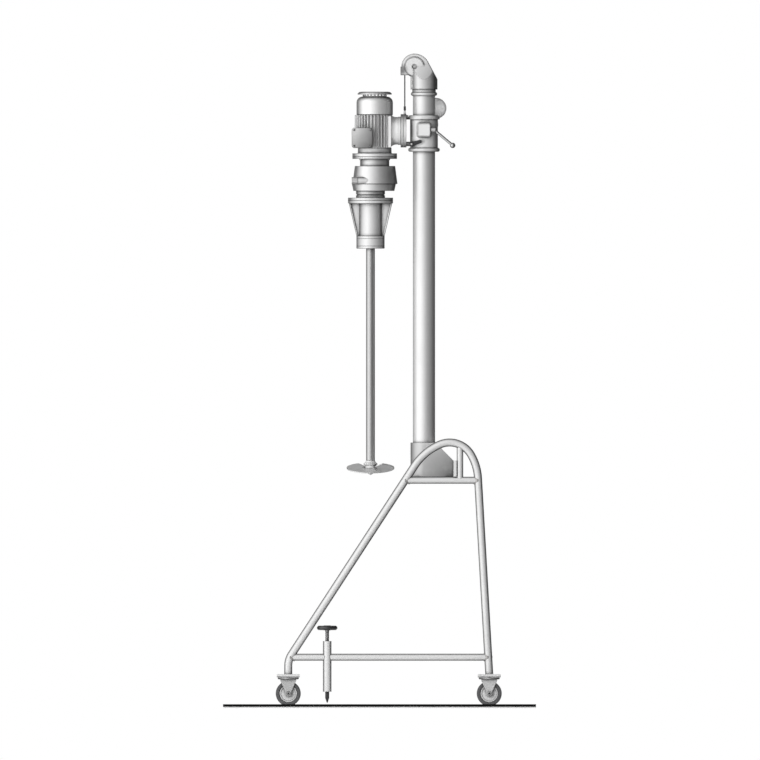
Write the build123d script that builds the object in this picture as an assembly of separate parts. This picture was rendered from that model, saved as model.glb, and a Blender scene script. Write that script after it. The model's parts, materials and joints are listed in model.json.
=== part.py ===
from build123d import *
import os
from math import acos, atan2, cos, degrees, hypot, pi, radians, sin, sqrt, tan

# Mobile emulsifier on a wheeled A-frame. Millimetres, +Z up, origin on the floor in the
# middle of the caster base. +X is the rear (push handle) side, -Y is the near side.

# Clearances
running_fit = 0.05
seat_gap = 0.1
body_gap = 0.3

# Stance
wheelbase = 804.0
track = 600.0

# Casters
wheel_d = 100.0
tyre_w = 30.0
tyre_t = 15.6
wheel_gap = 2.4
fork_t = 3.0
fork_half_w = 32.0
fork_tip_r = 12.8
crown_t = 4.0
race_d = 84.0
race_h = 7.6
caster_plate = 91.2
caster_plate_t = 4.8
kingpin_d = 16.0
kingpin_head_d = 24.0
kingpin_head_t = 1.6
caster_axle_d = 10.0
foot_plate_t = 8.0

# Side frames: one bent tube per side
leg_d = 32.0
tube_wall = 2.0
front_lean = 33.1
rear_lean = 3.27
foot_stub = 34.9
foot_bend_r = 80.0
front_shoulder_r = 229.0
front_shoulder_angle = 33.8
crest_r = 98.8
rear_shoulder_r = 212.5
rear_shoulder_angle = 26.4
rail_d = 28.0
lower_rail_z = 195.2
upper_rail_z = 903.0
post_d = 26.0
post_inset = 72.87
handle_d = 28.0
beam_s = 28.0
beam_front_reach = 30.0
beam_post_gap = 44.8

# Floor jacks
jack_inset = 155.8
jack_tube_d = 34.0
jack_tube_wall = 3.0
jack_tube_z = 57.2
jack_tube_len = 202.4
jack_nut_h = 25.0
jack_screw_d = 16.0
jack_tip_z = 12.8
jack_point_h = 19.2
jack_foot_len = 117.2
jack_collar_h = 20.0
jack_pivot_d = 8.0
jack_pivot_h = 10.0
handwheel_d = 82.0
handwheel_h = 20.0
handwheel_rim_d = 18.0
handwheel_gap = 42.8
spoke_d = 8.0

# Column and its bracket
column_x = 141.0
column_d = 88.9
column_wall = 3.2
column_top_z = 2496.0
socket_d = 108.0
socket_h = 136.6
socket_floor_t = 10.0
socket_floor_bore = 60.0
cheek_t = 8.0
cheek_back_h = 64.4
back_bar_h = 64.4
back_bar_overhang = 12.0
back_bar_t = 12.69949

# Head casting and rope
pulley_pitch_r = 38.4
pulley_rim_r = 42.0
pulley_w = 16.0
pulley_hub_r = 16.0
pulley_rise = 61.6
pulley_axle_d = 16.0
rope_d = 5.0
hood_r = 52.0
hood_half_w = 28.0
hood_wall = 4.5
hood_cheek = 11.0
lip_reach = 55.6
lip_t = 5.0
lip_drop = 34.6
head_grip = 30.0
head_shoulder_rise = 10.8
head_front_half_w = 54.0
boss_proud = 4.0
neck_d = 94.0
neck_h = 10.0
bead_d = 105.2
bead_h = 15.6

# Counterweight
weight_d = 69.0
weight_lift = 190.0
weight_len = 259.0
weight_dome_h = 15.0

# Carriage
sleeve_d = 111.2
raised_gap = 77.2
sleeve_h = 146.4
sleeve_bore_gap = 2.0
top_ring_d = 125.0
top_ring_h = 16.8
bottom_bead_d = 126.8
bottom_bead_h = 16.0
bush_wall = 4.0
bush_len = 36.0
clamp_w = 56.0
clamp_h = 57.0
clamp_front_y = 84.0
clamp_corner_r = 9.0
clamp_taper_h = 5.0
lever_hub_d = 25.0
lever_hub_len = 18.0
lever_y = 68.0
lever_rise = 87.6
lever_angle = 40.0
lever_len = 96.5
lever_arm_d = 10.8
lever_ball_d = 21.6
lever_screw_d = 12.0
lock_reach = 49.2
lock_rise = 30.8
lock_boss_r = 9.5
lock_hub_r = 9.5
lock_tip_r = 6.8
lock_arm_len = 35.4
lock_arm_angle = 16.4
lock_plate_t = 8.0
lock_boss_y = 65.7
lock_boss_root_y = 28.0
lock_pin_d = 8.0
grip_d = 83.2
grip_reach = 48.0
grip_y = 92.0
grip_rise = 27.8
grip_stem_d = 16.0
grip_arm_t = 12.0
grip_arm_w = 18.0

# Swivel of the mixing head, about an axis along X
swivel_rise = 84.0
swivel_d = 133.0
swivel_reach = 82.0
swivel_fixed_t = 11.6
swivel_turn_t = 11.0
spigot_d = 50.0
spigot_len = 9.0
mount_disc_d = 112.8
mount_disc_t = 10.4
rope_socket_h = 14.0
link_r = 9.0
link_upper_rise = 54.2
link_lower_drop = 52.6

# Motor
motor_reach = 115.2
motor_frame_r = 66.0
fin_r = 80.0
fin_t = 3.0
fin_count = 36
motor_drop = 68.8
motor_len = 129.2
motor_wall = 8.0
motor_pad_reach = 66.0
motor_pad_half_w = 58.0
stator_t = 20.0
rotor_gap = 0.6
motor_shaft_d = 19.0
motor_bearing_r = 23.5
motor_bearing_w = 12.0
cowl_r = 72.8
cowl_joint_h = 4.8
cowl_h = 71.6
cowl_corner_r = 24.0
cowl_wall = 2.0
cowl_slot_w = 6.0
cap_r = 68.2
cap_t = 10.0
cap_gap = 9.6
cap_skin = 2.5
cap_neck_r = 48.0
cap_slot_count = 20
cap_slot_w = 7.0
shield_r = 67.4
shield_h = 21.4
flange_r = 89.2
motor_flange_t = 13.4
box_w = 82.8
box_h = 81.6
box_reach = 92.0
box_drop = 0.4
box_front_y = 120.0
box_back_y = 48.0
box_corner_r = 12.0
box_lid_t = 16.0
box_bow_r = 95.0
cable_entry_r = 10.0
cable_entry_y = 75.0
cable_entry_len = 8.0

# Friction variator below the motor
axis_offset = 16.8
variator_flange_t = 8.8
variator_neck_r = 58.4
variator_neck_h = 28.4
variator_top_r = 80.6
variator_seam_r = 90.0
variator_body_h = 71.6
variator_cover_h = 28.0
variator_cover_r = 88.0
variator_cover_end_r = 82.0
variator_wall = 8.0
drive_disc_r = 30.0
drive_disc_t = 16.0
ring_wall = 7.0
ring_h = 24.0
ring_web_t = 8.0
output_hub_r = 27.0
outlet_neck_r = 58.0
outlet_neck_h = 27.2
outlet_flange_r = 90.0
outlet_flange_t = 11.2
knob_d = 28.0
knob_len = 23.2
knob_y = 70.0
knob_rise = 12.8
knob_reach = 92.0
knob_collar_t = 11.0
knob_spindle_d = 10.0

# Lantern, bearings and mixing shaft
lantern_flange_t = 11.2
lantern_top_r = 86.8
lantern_foot_r = 56.4
lantern_h = 152.4
lantern_wall = 5.0
lantern_strip_half_angle = 12.0
lantern_web_t = 12.0
lantern_ring_h = 10.0
bearing_tube_r = 44.6
bearing_r = 36.0
bearing_w = 17.0
bearing_house_h = 29.6
bearing_cap_t = 10.4
shaft_d = 35.0
shaft_reach = 877.6
impeller_r = 95.4
impeller_pitch = 12.0
impeller_t = 4.0
impeller_slit = 5.0
impeller_skew = 27.0
impeller_hub_r = 22.0
impeller_collar_r = 28.0
impeller_hub_low = 18.0
impeller_hub_high = 30.0
impeller_journal_step = 6.0
impeller_nut_r = 12.5
impeller_nut_h = 9.5

# Heights and radii that follow
wheel_r = wheel_d / 2
crown_z = wheel_d + wheel_gap
race_z = crown_z + crown_t
plate_z = race_z + race_h + body_gap
foot_plate_z = plate_z + caster_plate_t
leg_z = foot_plate_z + foot_plate_t
leg_r = leg_d / 2
rail_r = rail_d / 2
column_r = column_d / 2
bracket_z = upper_rail_z + beam_s / 2
column_z = bracket_z + socket_floor_t
weight_bottom_z = column_z + weight_lift
beam_front_x = column_x - beam_front_reach
jack_x = -wheelbase / 2 + jack_inset
pulley_z = column_top_z + pulley_rise
lip_bottom_z = pulley_z - lip_drop
head_bottom_z = column_top_z - head_grip
head_shoulder_z = column_top_z + head_shoulder_rise
jack_top_z = jack_tube_z + jack_tube_len
handwheel_z = jack_top_z + handwheel_gap
jack_joint_z = jack_tip_z + jack_foot_len
pulley_x = column_x - pulley_pitch_r
rope_x = pulley_x - pulley_pitch_r
sleeve_top_z = head_bottom_z - neck_h - bead_h - raised_gap
sleeve_bottom_z = sleeve_top_z - sleeve_h
lever_z = sleeve_bottom_z + lever_rise
lock_x = column_x - lock_reach
lock_z = sleeve_bottom_z + lock_rise
grip_x = column_x + grip_reach
grip_z = sleeve_top_z + grip_rise
swivel_z = sleeve_bottom_z + swivel_rise
swivel_face_x = column_x - swivel_reach
link_upper_z = swivel_z + link_upper_rise
link_lower_z = swivel_z - link_lower_drop
swivel_back_x = swivel_face_x + swivel_fixed_t
turn_x = swivel_face_x - body_gap - swivel_turn_t
mount_x = turn_x - mount_disc_t
motor_x = swivel_face_x - motor_reach
motor_pad_x = motor_x + motor_pad_reach
motor_bottom_z = swivel_z - motor_drop
motor_top_z = motor_bottom_z + motor_len
cowl_z = motor_top_z + cowl_joint_h
box_left_x = motor_x - box_reach
box_bottom_z = motor_bottom_z - box_drop
cap_z = cowl_z + cowl_h + cap_gap
flange_z = motor_bottom_z - shield_h - motor_flange_t
variator_z = flange_z - variator_flange_t - variator_neck_h
seam_z = variator_z - variator_body_h
knob_z = seam_z + knob_rise
knob_left_x = motor_x - knob_reach
output_x = motor_x - axis_offset
cover_z = seam_z - variator_cover_h
outlet_flange_z = cover_z - outlet_neck_h - outlet_flange_t
lantern_z = outlet_flange_z - lantern_flange_t
lantern_bottom_z = outlet_flange_z - lantern_h
bearing_cap_z = lantern_bottom_z - bearing_house_h - bearing_cap_t
shaft_bottom_z = bearing_cap_z - shaft_reach
variator_x = motor_x + 1.2
variator_cover_x = (motor_x + output_x) / 2 + 5.2
ring_inner_r = drive_disc_r + axis_offset + body_gap
ring_mid_z = (seam_z + knob_z) / 2 + drive_disc_t

near, far = -1, 1
front, rear = -1, 1
side_names = {near: "near", far: "far"}
end_names = {front: "front", rear: "rear"}
parts = {}


def cylinder_z(r, x, y, z, h):
    """Upright cylinder standing on height z."""
    return Pos(x, y, z) * Cylinder(r, h, align=(Align.CENTER, Align.CENTER, Align.MIN))


def cylinder_y(r, x, y0, y1, z):
    """Cylinder lying along Y."""
    return Pos(x, (y0 + y1) / 2, z) * Rot(90, 0, 0) * Cylinder(r, abs(y1 - y0))


def cylinder_x(r, x0, x1, y, z):
    """Cylinder lying along X."""
    return Pos((x0 + x1) / 2, y, z) * Rot(0, 90, 0) * Cylinder(r, abs(x1 - x0))


def tube_z(r, bore_r, x, y, z, h):
    """Upright tube standing on height z."""
    return cylinder_z(r, x, y, z, h) - cylinder_z(bore_r, x, y, z - 1, h + 2)


def block(x0, x1, y0, y1, z0, z1):
    """Box between two corners."""
    centre = Pos((x0 + x1) / 2, (y0 + y1) / 2, (z0 + z1) / 2)
    return centre * Box(x1 - x0, y1 - y0, z1 - z0)


def turned(x, y, outline):
    """Solid of revolution about an upright axis, from (radius, height) points."""
    face = make_face(Polyline(*[(r, 0, z) for r, z in outline], close=True))
    return Pos(x, y, 0) * revolve(face, Axis.Z)


def solids_of(shape):
    """The separate solids in a shape."""
    return list(shape.solids())


def keep(name, *shapes):
    """Files each solid of the shapes under one node."""
    parts[name] = [solid for shape in shapes for solid in solids_of(shape)]


# Side frames


class Course:
    """A path in the XZ plane, laid from straight runs and tangent arcs."""

    def __init__(self, x, z, heading):
        self.x, self.z, self.heading = x, z, heading
        self.edges = []

    def run(self, length):
        start = (self.x, 0, self.z)
        self.x += length * cos(self.heading)
        self.z += length * sin(self.heading)
        self.edges.append(Line(start, (self.x, 0, self.z)))

    def bend(self, radius, angle):
        points = [(self.x, 0, self.z)]
        for turn in (angle / 2, angle / 2):
            chord = 2 * radius * sin(turn / 2)
            self.x += chord * cos(self.heading - turn / 2)
            self.z += chord * sin(self.heading - turn / 2)
            self.heading -= turn
            points.append((self.x, 0, self.z))
        self.edges.append(ThreePointArc(*points))


def leg_bends():
    """Radius and angle of the foot bend, front shoulder, crest and rear shoulder."""
    crest_angle = 180 - front_lean - rear_lean - front_shoulder_angle - rear_shoulder_angle
    return [
        (foot_bend_r, radians(front_lean)),
        (front_shoulder_r, radians(front_shoulder_angle)),
        (crest_r, radians(crest_angle)),
        (rear_shoulder_r, radians(rear_shoulder_angle)),
    ]


def leg_course():
    """Centre line of a bent leg tube, its two straight runs set by the wheelbase."""
    up = pi / 2
    front_heading = up - radians(front_lean)
    rear_heading = -up + radians(rear_lean)
    bends = leg_bends()
    trial = Course(0, foot_stub, up)
    for radius, angle in bends:
        trial.bend(radius, angle)
    gap_x, gap_z = wheelbase - trial.x, -trial.z
    cross = sin(rear_heading - front_heading)
    front_run = (gap_x * sin(rear_heading) - gap_z * cos(rear_heading)) / cross
    rear_run = (gap_z * cos(front_heading) - gap_x * sin(front_heading)) / cross
    course = Course(-wheelbase / 2, leg_z, up)
    course.run(foot_stub)
    course.bend(*bends[0])
    course.run(front_run)
    for radius, angle in bends[1:]:
        course.bend(radius, angle)
    course.run(rear_run)
    return Wire([edge.edge() for edge in course.edges])


leg_path = leg_course()
leg_samples = [leg_path.position_at(i / 600) for i in range(601)]


def leg_crossings(height):
    """X of the front and the rear leg at a height."""
    found = []
    for a, b in zip(leg_samples, leg_samples[1:]):
        if (a.Z - height) * (b.Z - height) <= 0 and a.Z != b.Z:
            found.append(a.X + (b.X - a.X) * (height - a.Z) / (b.Z - a.Z))
    return min(found), max(found)


def crest_point():
    """Highest point of the leg's centre line."""
    return max(leg_samples, key=lambda p: p.Z)


def arch_height(x):
    """Height of the centre line above a place between the legs."""
    return max(p.Z for p in leg_samples if abs(p.X - x) < 6)


post_x = leg_crossings(upper_rail_z)[1] - post_inset
back_bar_x = post_x - post_d / 2 - seat_gap - back_bar_t
beam_rear_x = post_x - beam_post_gap


def leg_tube(y, r, bore_r=0.0):
    """The leg's tube, or a plain bar where it has no bore."""
    section = Circle(r) - Circle(bore_r) if bore_r else Circle(r)
    start = Plane(origin=leg_path @ 0, z_dir=leg_path % 0)
    return Pos(0, y, 0) * sweep(start * section, path=leg_path)


def side_frames():
    """Two bent legs with their foot plates, rails and rear posts."""
    rails = []
    for side in (near, far):
        y = side * track / 2
        leg = leg_tube(y, leg_r, leg_r - tube_wall)
        feet = [
            block(x - caster_plate / 2, x + caster_plate / 2, y - caster_plate / 2,
                  y + caster_plate / 2, foot_plate_z, leg_z)
            for x in (-wheelbase / 2, wheelbase / 2)
        ]
        cutter = leg_tube(y, leg_r + seat_gap)
        keep(f"leg_arch_{side_names[side]}", leg + feet[0] + feet[1])
        for z in (lower_rail_z, upper_rail_z):
            x0, x1 = leg_crossings(z)
            bar = cylinder_x(rail_r, x0, x1, y, z) - cylinder_x(rail_r - tube_wall, x0 - 1, x1 + 1, y, z)
            bar -= cutter
            if z == lower_rail_z:
                bar -= cylinder_z(jack_tube_d / 2 + seat_gap, jack_x, y, jack_tube_z, jack_tube_len)
            rails.append(bar)
        top = arch_height(post_x)
        post = tube_z(post_d / 2, post_d / 2 - tube_wall, post_x, y, upper_rail_z, top - upper_rail_z)
        post -= cutter
        post -= cylinder_x(rail_r + seat_gap, post_x - post_d, post_x + post_d, y, upper_rail_z)
        rails.append(post.solids().sort_by(SortBy.VOLUME)[-1])
    keep("side_rails", *rails)


def cross_members():
    """Push handle, lower rear tube, the two beams under the bracket and the back bar."""
    half = track / 2
    crest = crest_point()
    handle = cylinder_y(handle_d / 2, crest.X, -half, half, crest.Z)
    handle -= cylinder_y(handle_d / 2 - tube_wall, crest.X, -half - 1, half + 1, crest.Z)
    rear_x = leg_crossings(lower_rail_z)[1]
    low = cylinder_y(rail_r, rear_x, -half, half, lower_rail_z)
    low -= cylinder_y(rail_r - tube_wall, rear_x, -half - 1, half + 1, lower_rail_z)
    for side in (near, far):
        low -= cylinder_x(rail_r + seat_gap, 0, rear_x, side * half, lower_rail_z)
        cutter = leg_tube(side * half, leg_r + seat_gap)
        handle -= cutter
        low -= cutter
    beams = []
    for x in (beam_front_x, beam_rear_x):
        beam = block(x - beam_s / 2, x + beam_s / 2, -half, half,
                     upper_rail_z - beam_s / 2, upper_rail_z + beam_s / 2)
        bore = beam_s / 2 - tube_wall
        beam -= block(x - bore, x + bore, -half - 1, half + 1, upper_rail_z - bore, upper_rail_z + bore)
        for side in (near, far):
            beam -= cylinder_x(rail_r + seat_gap, x - beam_s, x + beam_s, side * half, upper_rail_z)
        inner = [s for s in beam.solids() if s.volume > 1000]
        beams += inner
    keep("push_handle", handle)
    reach = half + back_bar_overhang
    bar = block(back_bar_x, back_bar_x + back_bar_t, -reach, reach, bracket_z + seat_gap,
                bracket_z + back_bar_h)
    keep("cross_members", low, *beams, bar)


# Column, its bracket and the head


def column_bracket():
    """Socket for the column, with two gusset cheeks reaching back to the back bar."""
    r = socket_d / 2
    top = bracket_z + socket_h
    outline = Plane.XZ * make_face(Polyline(
        (column_x, bracket_z), (back_bar_x, bracket_z),
        (back_bar_x, bracket_z + cheek_back_h), (column_x + r - cheek_t, top),
        (column_x, top), close=True))
    solid = cylinder_z(r, column_x, 0, bracket_z, socket_h)
    for side in (near, far):
        y = side * (r - cheek_t / 2)
        solid += Pos(0, y, 0) * extrude(outline, cheek_t / 2, both=True)
    bore_r = column_r + running_fit
    solid -= cylinder_z(bore_r, column_x, 0, column_z, socket_h)
    solid -= cylinder_z(socket_floor_bore / 2, column_x, 0, bracket_z - 1, socket_h)
    keep("column_bracket", solid)
    inner = column_r - column_wall
    keep("column", tube_z(column_r, inner, column_x, 0, column_z, column_top_z - column_z))


def head_silhouette():
    """Side outline of the head casting, with the rope's lip at the front."""
    left = column_x - head_front_half_w
    right = column_x + head_front_half_w
    top_z = pulley_z + hood_r
    slope_x = column_x + hood_r * 0.36
    return make_face(
        Polyline((left, head_bottom_z), (left, lip_bottom_z), (pulley_x - lip_reach, lip_bottom_z),
                 (pulley_x - lip_reach, pulley_z), (pulley_x - hood_r, pulley_z))
        + ThreePointArc((pulley_x - hood_r, pulley_z),
                        (pulley_x - hood_r * sin(pi / 4), pulley_z + hood_r * cos(pi / 4)),
                        (pulley_x, top_z))
        + ThreePointArc((pulley_x, top_z), (column_x - 2, pulley_z + hood_r * 0.78),
                        (slope_x, pulley_z + hood_r * 0.3))
        + Polyline((slope_x, pulley_z + hood_r * 0.3), (right, head_shoulder_z),
                   (right, head_bottom_z), (left, head_bottom_z)))


def head_casting():
    """Cast head: round socket below, narrowing to a hood over the pulley."""
    r = head_front_half_w
    side_view = extrude(Plane.XZ * head_silhouette(), 2 * r, both=True)
    top_z = pulley_z + hood_r
    shoulder = head_shoulder_z
    front_view = make_face(Polyline(
        (-r, head_bottom_z), (-r, shoulder), (-hood_half_w, pulley_z + hood_r * 0.2),
        (-hood_half_w, top_z + 1), (hood_half_w, top_z + 1), (hood_half_w, pulley_z + hood_r * 0.2),
        (r, shoulder), (r, head_bottom_z), close=True))
    front_view = extrude(Plane.YZ * front_view, 400, both=True)
    plan = cylinder_z(r, column_x, 0, head_bottom_z, top_z - head_bottom_z)
    hood = block(pulley_x - lip_reach, column_x, -hood_half_w, hood_half_w, head_bottom_z, top_z + 1)
    solid = (plan + hood) & side_view & front_view
    for side in (near, far):
        y = side * hood_half_w
        solid += cylinder_y(pulley_pitch_r, pulley_x, 0, y + side * boss_proud, pulley_z)
    cavity_r = hood_r - hood_wall
    half = hood_half_w - hood_cheek
    solid -= cylinder_y(cavity_r, pulley_x, -half, half, pulley_z)
    solid -= block(pulley_x - lip_reach + lip_t, pulley_x, -half, half, lip_bottom_z - 1, pulley_z)
    well = column_r - column_wall
    solid -= block(pulley_x, column_x + well / 2, -half, half, column_top_z - 1, pulley_z)
    column_bore = column_r + running_fit
    solid -= cylinder_z(column_bore, column_x, 0, head_bottom_z - 1, column_top_z - head_bottom_z + 1)
    solid -= cylinder_y(pulley_axle_d / 2 + running_fit, pulley_x, -r, r, pulley_z)
    neck_z = head_bottom_z - neck_h
    bead_r = bead_d / 2
    curve = bead_h / 2
    profile = Plane.XZ * make_face(
        Polyline((column_bore, neck_z - bead_h), (bead_r - curve, neck_z - bead_h))
        + ThreePointArc((bead_r - curve, neck_z - bead_h), (bead_r, neck_z - curve), (bead_r - curve, neck_z))
        + Polyline((bead_r - curve, neck_z), (neck_d / 2, neck_z), (neck_d / 2, head_bottom_z),
                   (column_bore, head_bottom_z), (column_bore, neck_z - bead_h)))
    collar = Pos(column_x, 0, 0) * revolve(profile, Axis.Z)
    keep("head_casting", solid)
    keep("stop_collar", collar)
    axle = cylinder_y(pulley_axle_d / 2, pulley_x, -hood_half_w, hood_half_w, pulley_z)
    keep("pulley_axle", axle)


def head_pulley():
    """Grooved rope pulley, free on its axle."""
    half = pulley_w / 2
    hub_half = hood_half_w - hood_cheek - body_gap
    bore = pulley_axle_d / 2 + running_fit
    groove_r = rope_d / 2 + body_gap
    rim = pulley_rim_r
    profile = Plane.XY * make_face(Polyline(
        (bore, -hub_half), (pulley_hub_r, -hub_half), (pulley_hub_r, -half + 3),
        (pulley_pitch_r - 10, -half + 3), (pulley_pitch_r - 7, -half), (rim, -half), (rim, half),
        (pulley_pitch_r - 7, half), (pulley_pitch_r - 10, half - 3), (pulley_hub_r, half - 3),
        (pulley_hub_r, hub_half), (bore, hub_half), close=True))
    profile -= Pos(pulley_pitch_r, 0) * Circle(groove_r)
    profile -= Pos(pulley_pitch_r + groove_r, 0) * Rectangle(2 * groove_r, 2 * groove_r)
    wheel = revolve(profile, Axis.Y)
    keep("head_pulley", Pos(pulley_x, 0, pulley_z) * wheel)


def ropes():
    """Wire rope: its turn over the pulley, and its runs to the counterweight and the carriage."""
    r = rope_d / 2
    anchor_z = swivel_z + swivel_d / 2 + body_gap
    weight_top = weight_bottom_z + weight_len + weight_dome_h
    inner = cylinder_z(r, column_x, 0, weight_top + seat_gap, pulley_z - weight_top - 2 * seat_gap)
    section = Pos(pulley_pitch_r, 0) * Circle(r)
    ring = Pos(pulley_x, 0, pulley_z) * revolve(section, Axis.Y)
    over = ring & block(pulley_x - 2 * hood_r, pulley_x + 2 * hood_r, -hood_r, hood_r,
                        pulley_z, pulley_z + 2 * hood_r)
    keep("rope_turn", over)
    keep("rope_inner_run", inner)
    keep("rope_outer_run", cylinder_z(r, rope_x, 0, anchor_z, pulley_z - anchor_z - seat_gap))


def counterweight():
    """Round bar with a domed top, hung in the column."""
    r = weight_d / 2
    top = weight_bottom_z + weight_len
    outline = [(0, weight_bottom_z), (r, weight_bottom_z), (r, top), (rope_d, top + weight_dome_h),
               (0, top + weight_dome_h)]
    solid = turned(column_x, 0, outline)
    keep("counterweight", solid)


# Carriage


def bead_profile(outer_r, root_r, z0, z1):
    """Half-round bead on a ring, between two heights."""
    curve = (z1 - z0) / 2
    edge = outer_r - curve
    return make_face(
        Polyline((root_r, z0), (edge, z0)) + ThreePointArc((edge, z0), (outer_r, z0 + curve), (edge, z1))
        + Polyline((edge, z1), (root_r, z1), (root_r, z0)))


def carriage_sleeve():
    """Sleeve on the column, with a top ring, a bottom bead and the lock lever's boss."""
    r = sleeve_d / 2
    bore = column_r + sleeve_bore_gap
    top_r = top_ring_d / 2
    solid = cylinder_z(r, column_x, 0, sleeve_bottom_z, sleeve_h)
    edge = top_ring_h / 4
    ring = turned(column_x, 0, [
        (bore, sleeve_top_z - top_ring_h), (top_r, sleeve_top_z - top_ring_h),
        (top_r, sleeve_top_z - top_ring_h / 2), (top_r - edge, sleeve_top_z), (bore, sleeve_top_z)])
    bead = bead_profile(bottom_bead_d / 2, bore, sleeve_bottom_z, sleeve_bottom_z + bottom_bead_h)
    bead = Pos(column_x, 0, 0) * revolve(Plane.XZ * bead, Axis.Z)
    boss = cylinder_y(lock_boss_r, lock_x, -lock_boss_y, -lock_boss_root_y, lock_z)
    solid = solid + ring + bead + boss
    solid -= cylinder_z(bore, column_x, 0, sleeve_bottom_z - 1, sleeve_h + 2)
    bush_r = column_r + running_fit + bush_wall
    for z in (sleeve_bottom_z, sleeve_top_z - bush_len):
        solid -= cylinder_z(bush_r, column_x, 0, z - seat_gap, bush_len + 2 * seat_gap)
    pin_y = lock_boss_y - 26
    solid -= cylinder_y(lock_pin_d / 2 + running_fit, lock_x, -lock_boss_y - 1, -pin_y, lock_z)
    keep("carriage_sleeve", solid, clamp_boss())
    bushes = [
        tube_z(bush_r, column_r + running_fit, column_x, 0, z, bush_len)
        for z in (sleeve_bottom_z, sleeve_top_z - bush_len)
    ]
    keep("guide_bushes", *bushes)


def clamp_boss():
    """Rounded clamp boss on the near side of the sleeve, with a shallow tapered face."""
    face = RectangleRounded(clamp_w, clamp_h, clamp_corner_r)
    mid_z = lever_z
    plane = Plane(origin=(column_x, -clamp_front_y + clamp_taper_h, mid_z), x_dir=(1, 0, 0), z_dir=(0, -1, 0))
    solid = extrude(plane * face, -(clamp_front_y - clamp_taper_h - 10))
    solid += extrude(plane * face, clamp_taper_h, taper=40)
    solid -= cylinder_z(sleeve_d / 2 + seat_gap, column_x, 0, sleeve_bottom_z, sleeve_h)
    screw = lever_screw_d / 2 + running_fit
    solid -= cylinder_x(screw, column_x, column_x + clamp_w, -lever_y, lever_z)
    return solid.solids().sort_by(Axis.Y)[0]


def clamp_lever():
    """Lever with its hub, screw and ball, turned about the screw's axis."""
    hub_x0 = column_x + clamp_w / 2 + body_gap
    hub_x1 = hub_x0 + lever_hub_len
    hub = cylinder_x(lever_hub_d / 2, hub_x0, hub_x1, -lever_y, lever_z)
    hub += cylinder_x(lever_screw_d / 2, column_x + 3, hub_x0 + 1, -lever_y, lever_z)
    reach_x = cos(radians(lever_angle)) * lever_len
    reach_z = sin(radians(lever_angle)) * lever_len
    root = Vector(hub_x1 - lever_arm_d / 2, -lever_y, lever_z)
    tip = Vector(root.X + reach_x, -lever_y, lever_z - reach_z)
    path = Line(root, tip)
    arm = sweep(Plane(origin=root, z_dir=path % 0) * Circle(lever_arm_d / 2), path=path)
    ball = Pos(tip.X, tip.Y, tip.Z) * Sphere(lever_ball_d / 2)
    keep("clamp_lever", hub + arm + ball)


def lock_lever():
    """Small lever that locks the swivel, with its pin in the sleeve's boss."""
    y1 = -lock_boss_y - body_gap
    y0 = y1 - lock_plate_t
    angle = radians(lock_arm_angle)
    tip_x = lock_x + lock_arm_len * cos(angle)
    tip_z = lock_z + lock_arm_len * sin(angle)
    plate = cylinder_y(lock_hub_r, lock_x, y0, y1, lock_z) + cylinder_y(lock_tip_r, tip_x, y0, y1, tip_z)
    lift = asin_of(lock_hub_r - lock_tip_r, lock_arm_len)
    corners = []
    for r, x, z in ((lock_hub_r, lock_x, lock_z), (lock_tip_r, tip_x, tip_z)):
        for sign in (1, -1):
            a = angle + sign * (pi / 2 - lift)
            corners.append((x + r * cos(a), z + r * sin(a)))
    web = make_face(Polyline(corners[0], corners[1], corners[3], corners[2], close=True))
    plate += Pos(0, (y0 + y1) / 2, 0) * extrude(Plane.XZ * web, lock_plate_t / 2, both=True)
    pin = cylinder_y(lock_pin_d / 2, lock_x, y1 - 1, -lock_boss_y + 24, lock_z)
    keep("lock_lever", plate + pin)


def asin_of(rise, run):
    """Angle whose sine is rise over run."""
    return pi / 2 - acos(rise / run)


def swivel_plate():
    """Fixed half of the swivel, carried off the sleeve on an upper and a lower link."""
    disc = cylinder_x(swivel_d / 2, swivel_face_x, swivel_back_x, 0, swivel_z)
    for z in (link_upper_z, link_lower_z):
        link = cylinder_x(link_r, swivel_face_x + 1, column_x - column_r - 4, 0, z)
        disc += link
    disc -= cylinder_z(sleeve_d / 2 + seat_gap, column_x, 0, sleeve_bottom_z - 1, sleeve_h + 2)
    disc -= cylinder_z(top_ring_d / 2 + seat_gap, column_x, 0, sleeve_top_z - top_ring_h - seat_gap, top_ring_h + 1)
    bore = spigot_d / 2 + running_fit
    disc -= cylinder_x(bore, swivel_face_x - 1, swivel_face_x + spigot_len + body_gap, 0, swivel_z)
    top = swivel_z + swivel_d / 2
    socket_r = rope_x - swivel_face_x - body_gap
    disc += turned(rope_x, 0, [
        (0, top - 4), (socket_r, top - 4), (socket_r, top + 4),
        (rope_d / 2 + 1, top + rope_socket_h), (0, top + rope_socket_h)])
    disc -= cylinder_z(rope_d / 2 + seat_gap, rope_x, 0, top, rope_socket_h + 1)
    keep("swivel_plate", disc.solids().sort_by(SortBy.VOLUME)[-1])


def ball_grip():
    """Hand grip on an arm behind the sleeve."""
    distance = hypot(grip_x - column_x, grip_y)
    angle = degrees(atan2(grip_y, grip_x - column_x))
    ball = Pos(grip_x, grip_y, grip_z) * Sphere(grip_d / 2)
    arm_z = sleeve_bottom_z + sleeve_h * 0.7
    stem = cylinder_z(grip_stem_d / 2, grip_x, grip_y, arm_z, grip_z - arm_z)
    bar = block(sleeve_d / 2 - 6, distance, -grip_arm_w / 2, grip_arm_w / 2, arm_z, arm_z + grip_arm_t)
    bar += cylinder_z(grip_arm_w / 2, distance, 0, arm_z, grip_arm_t)
    bar = Pos(column_x, 0, 0) * Rot(0, 0, angle) * bar
    bar -= cylinder_z(sleeve_d / 2 + seat_gap, column_x, 0, sleeve_bottom_z, sleeve_h)
    keep("ball_grip", ball + stem + bar)


# Mixing head


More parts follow.
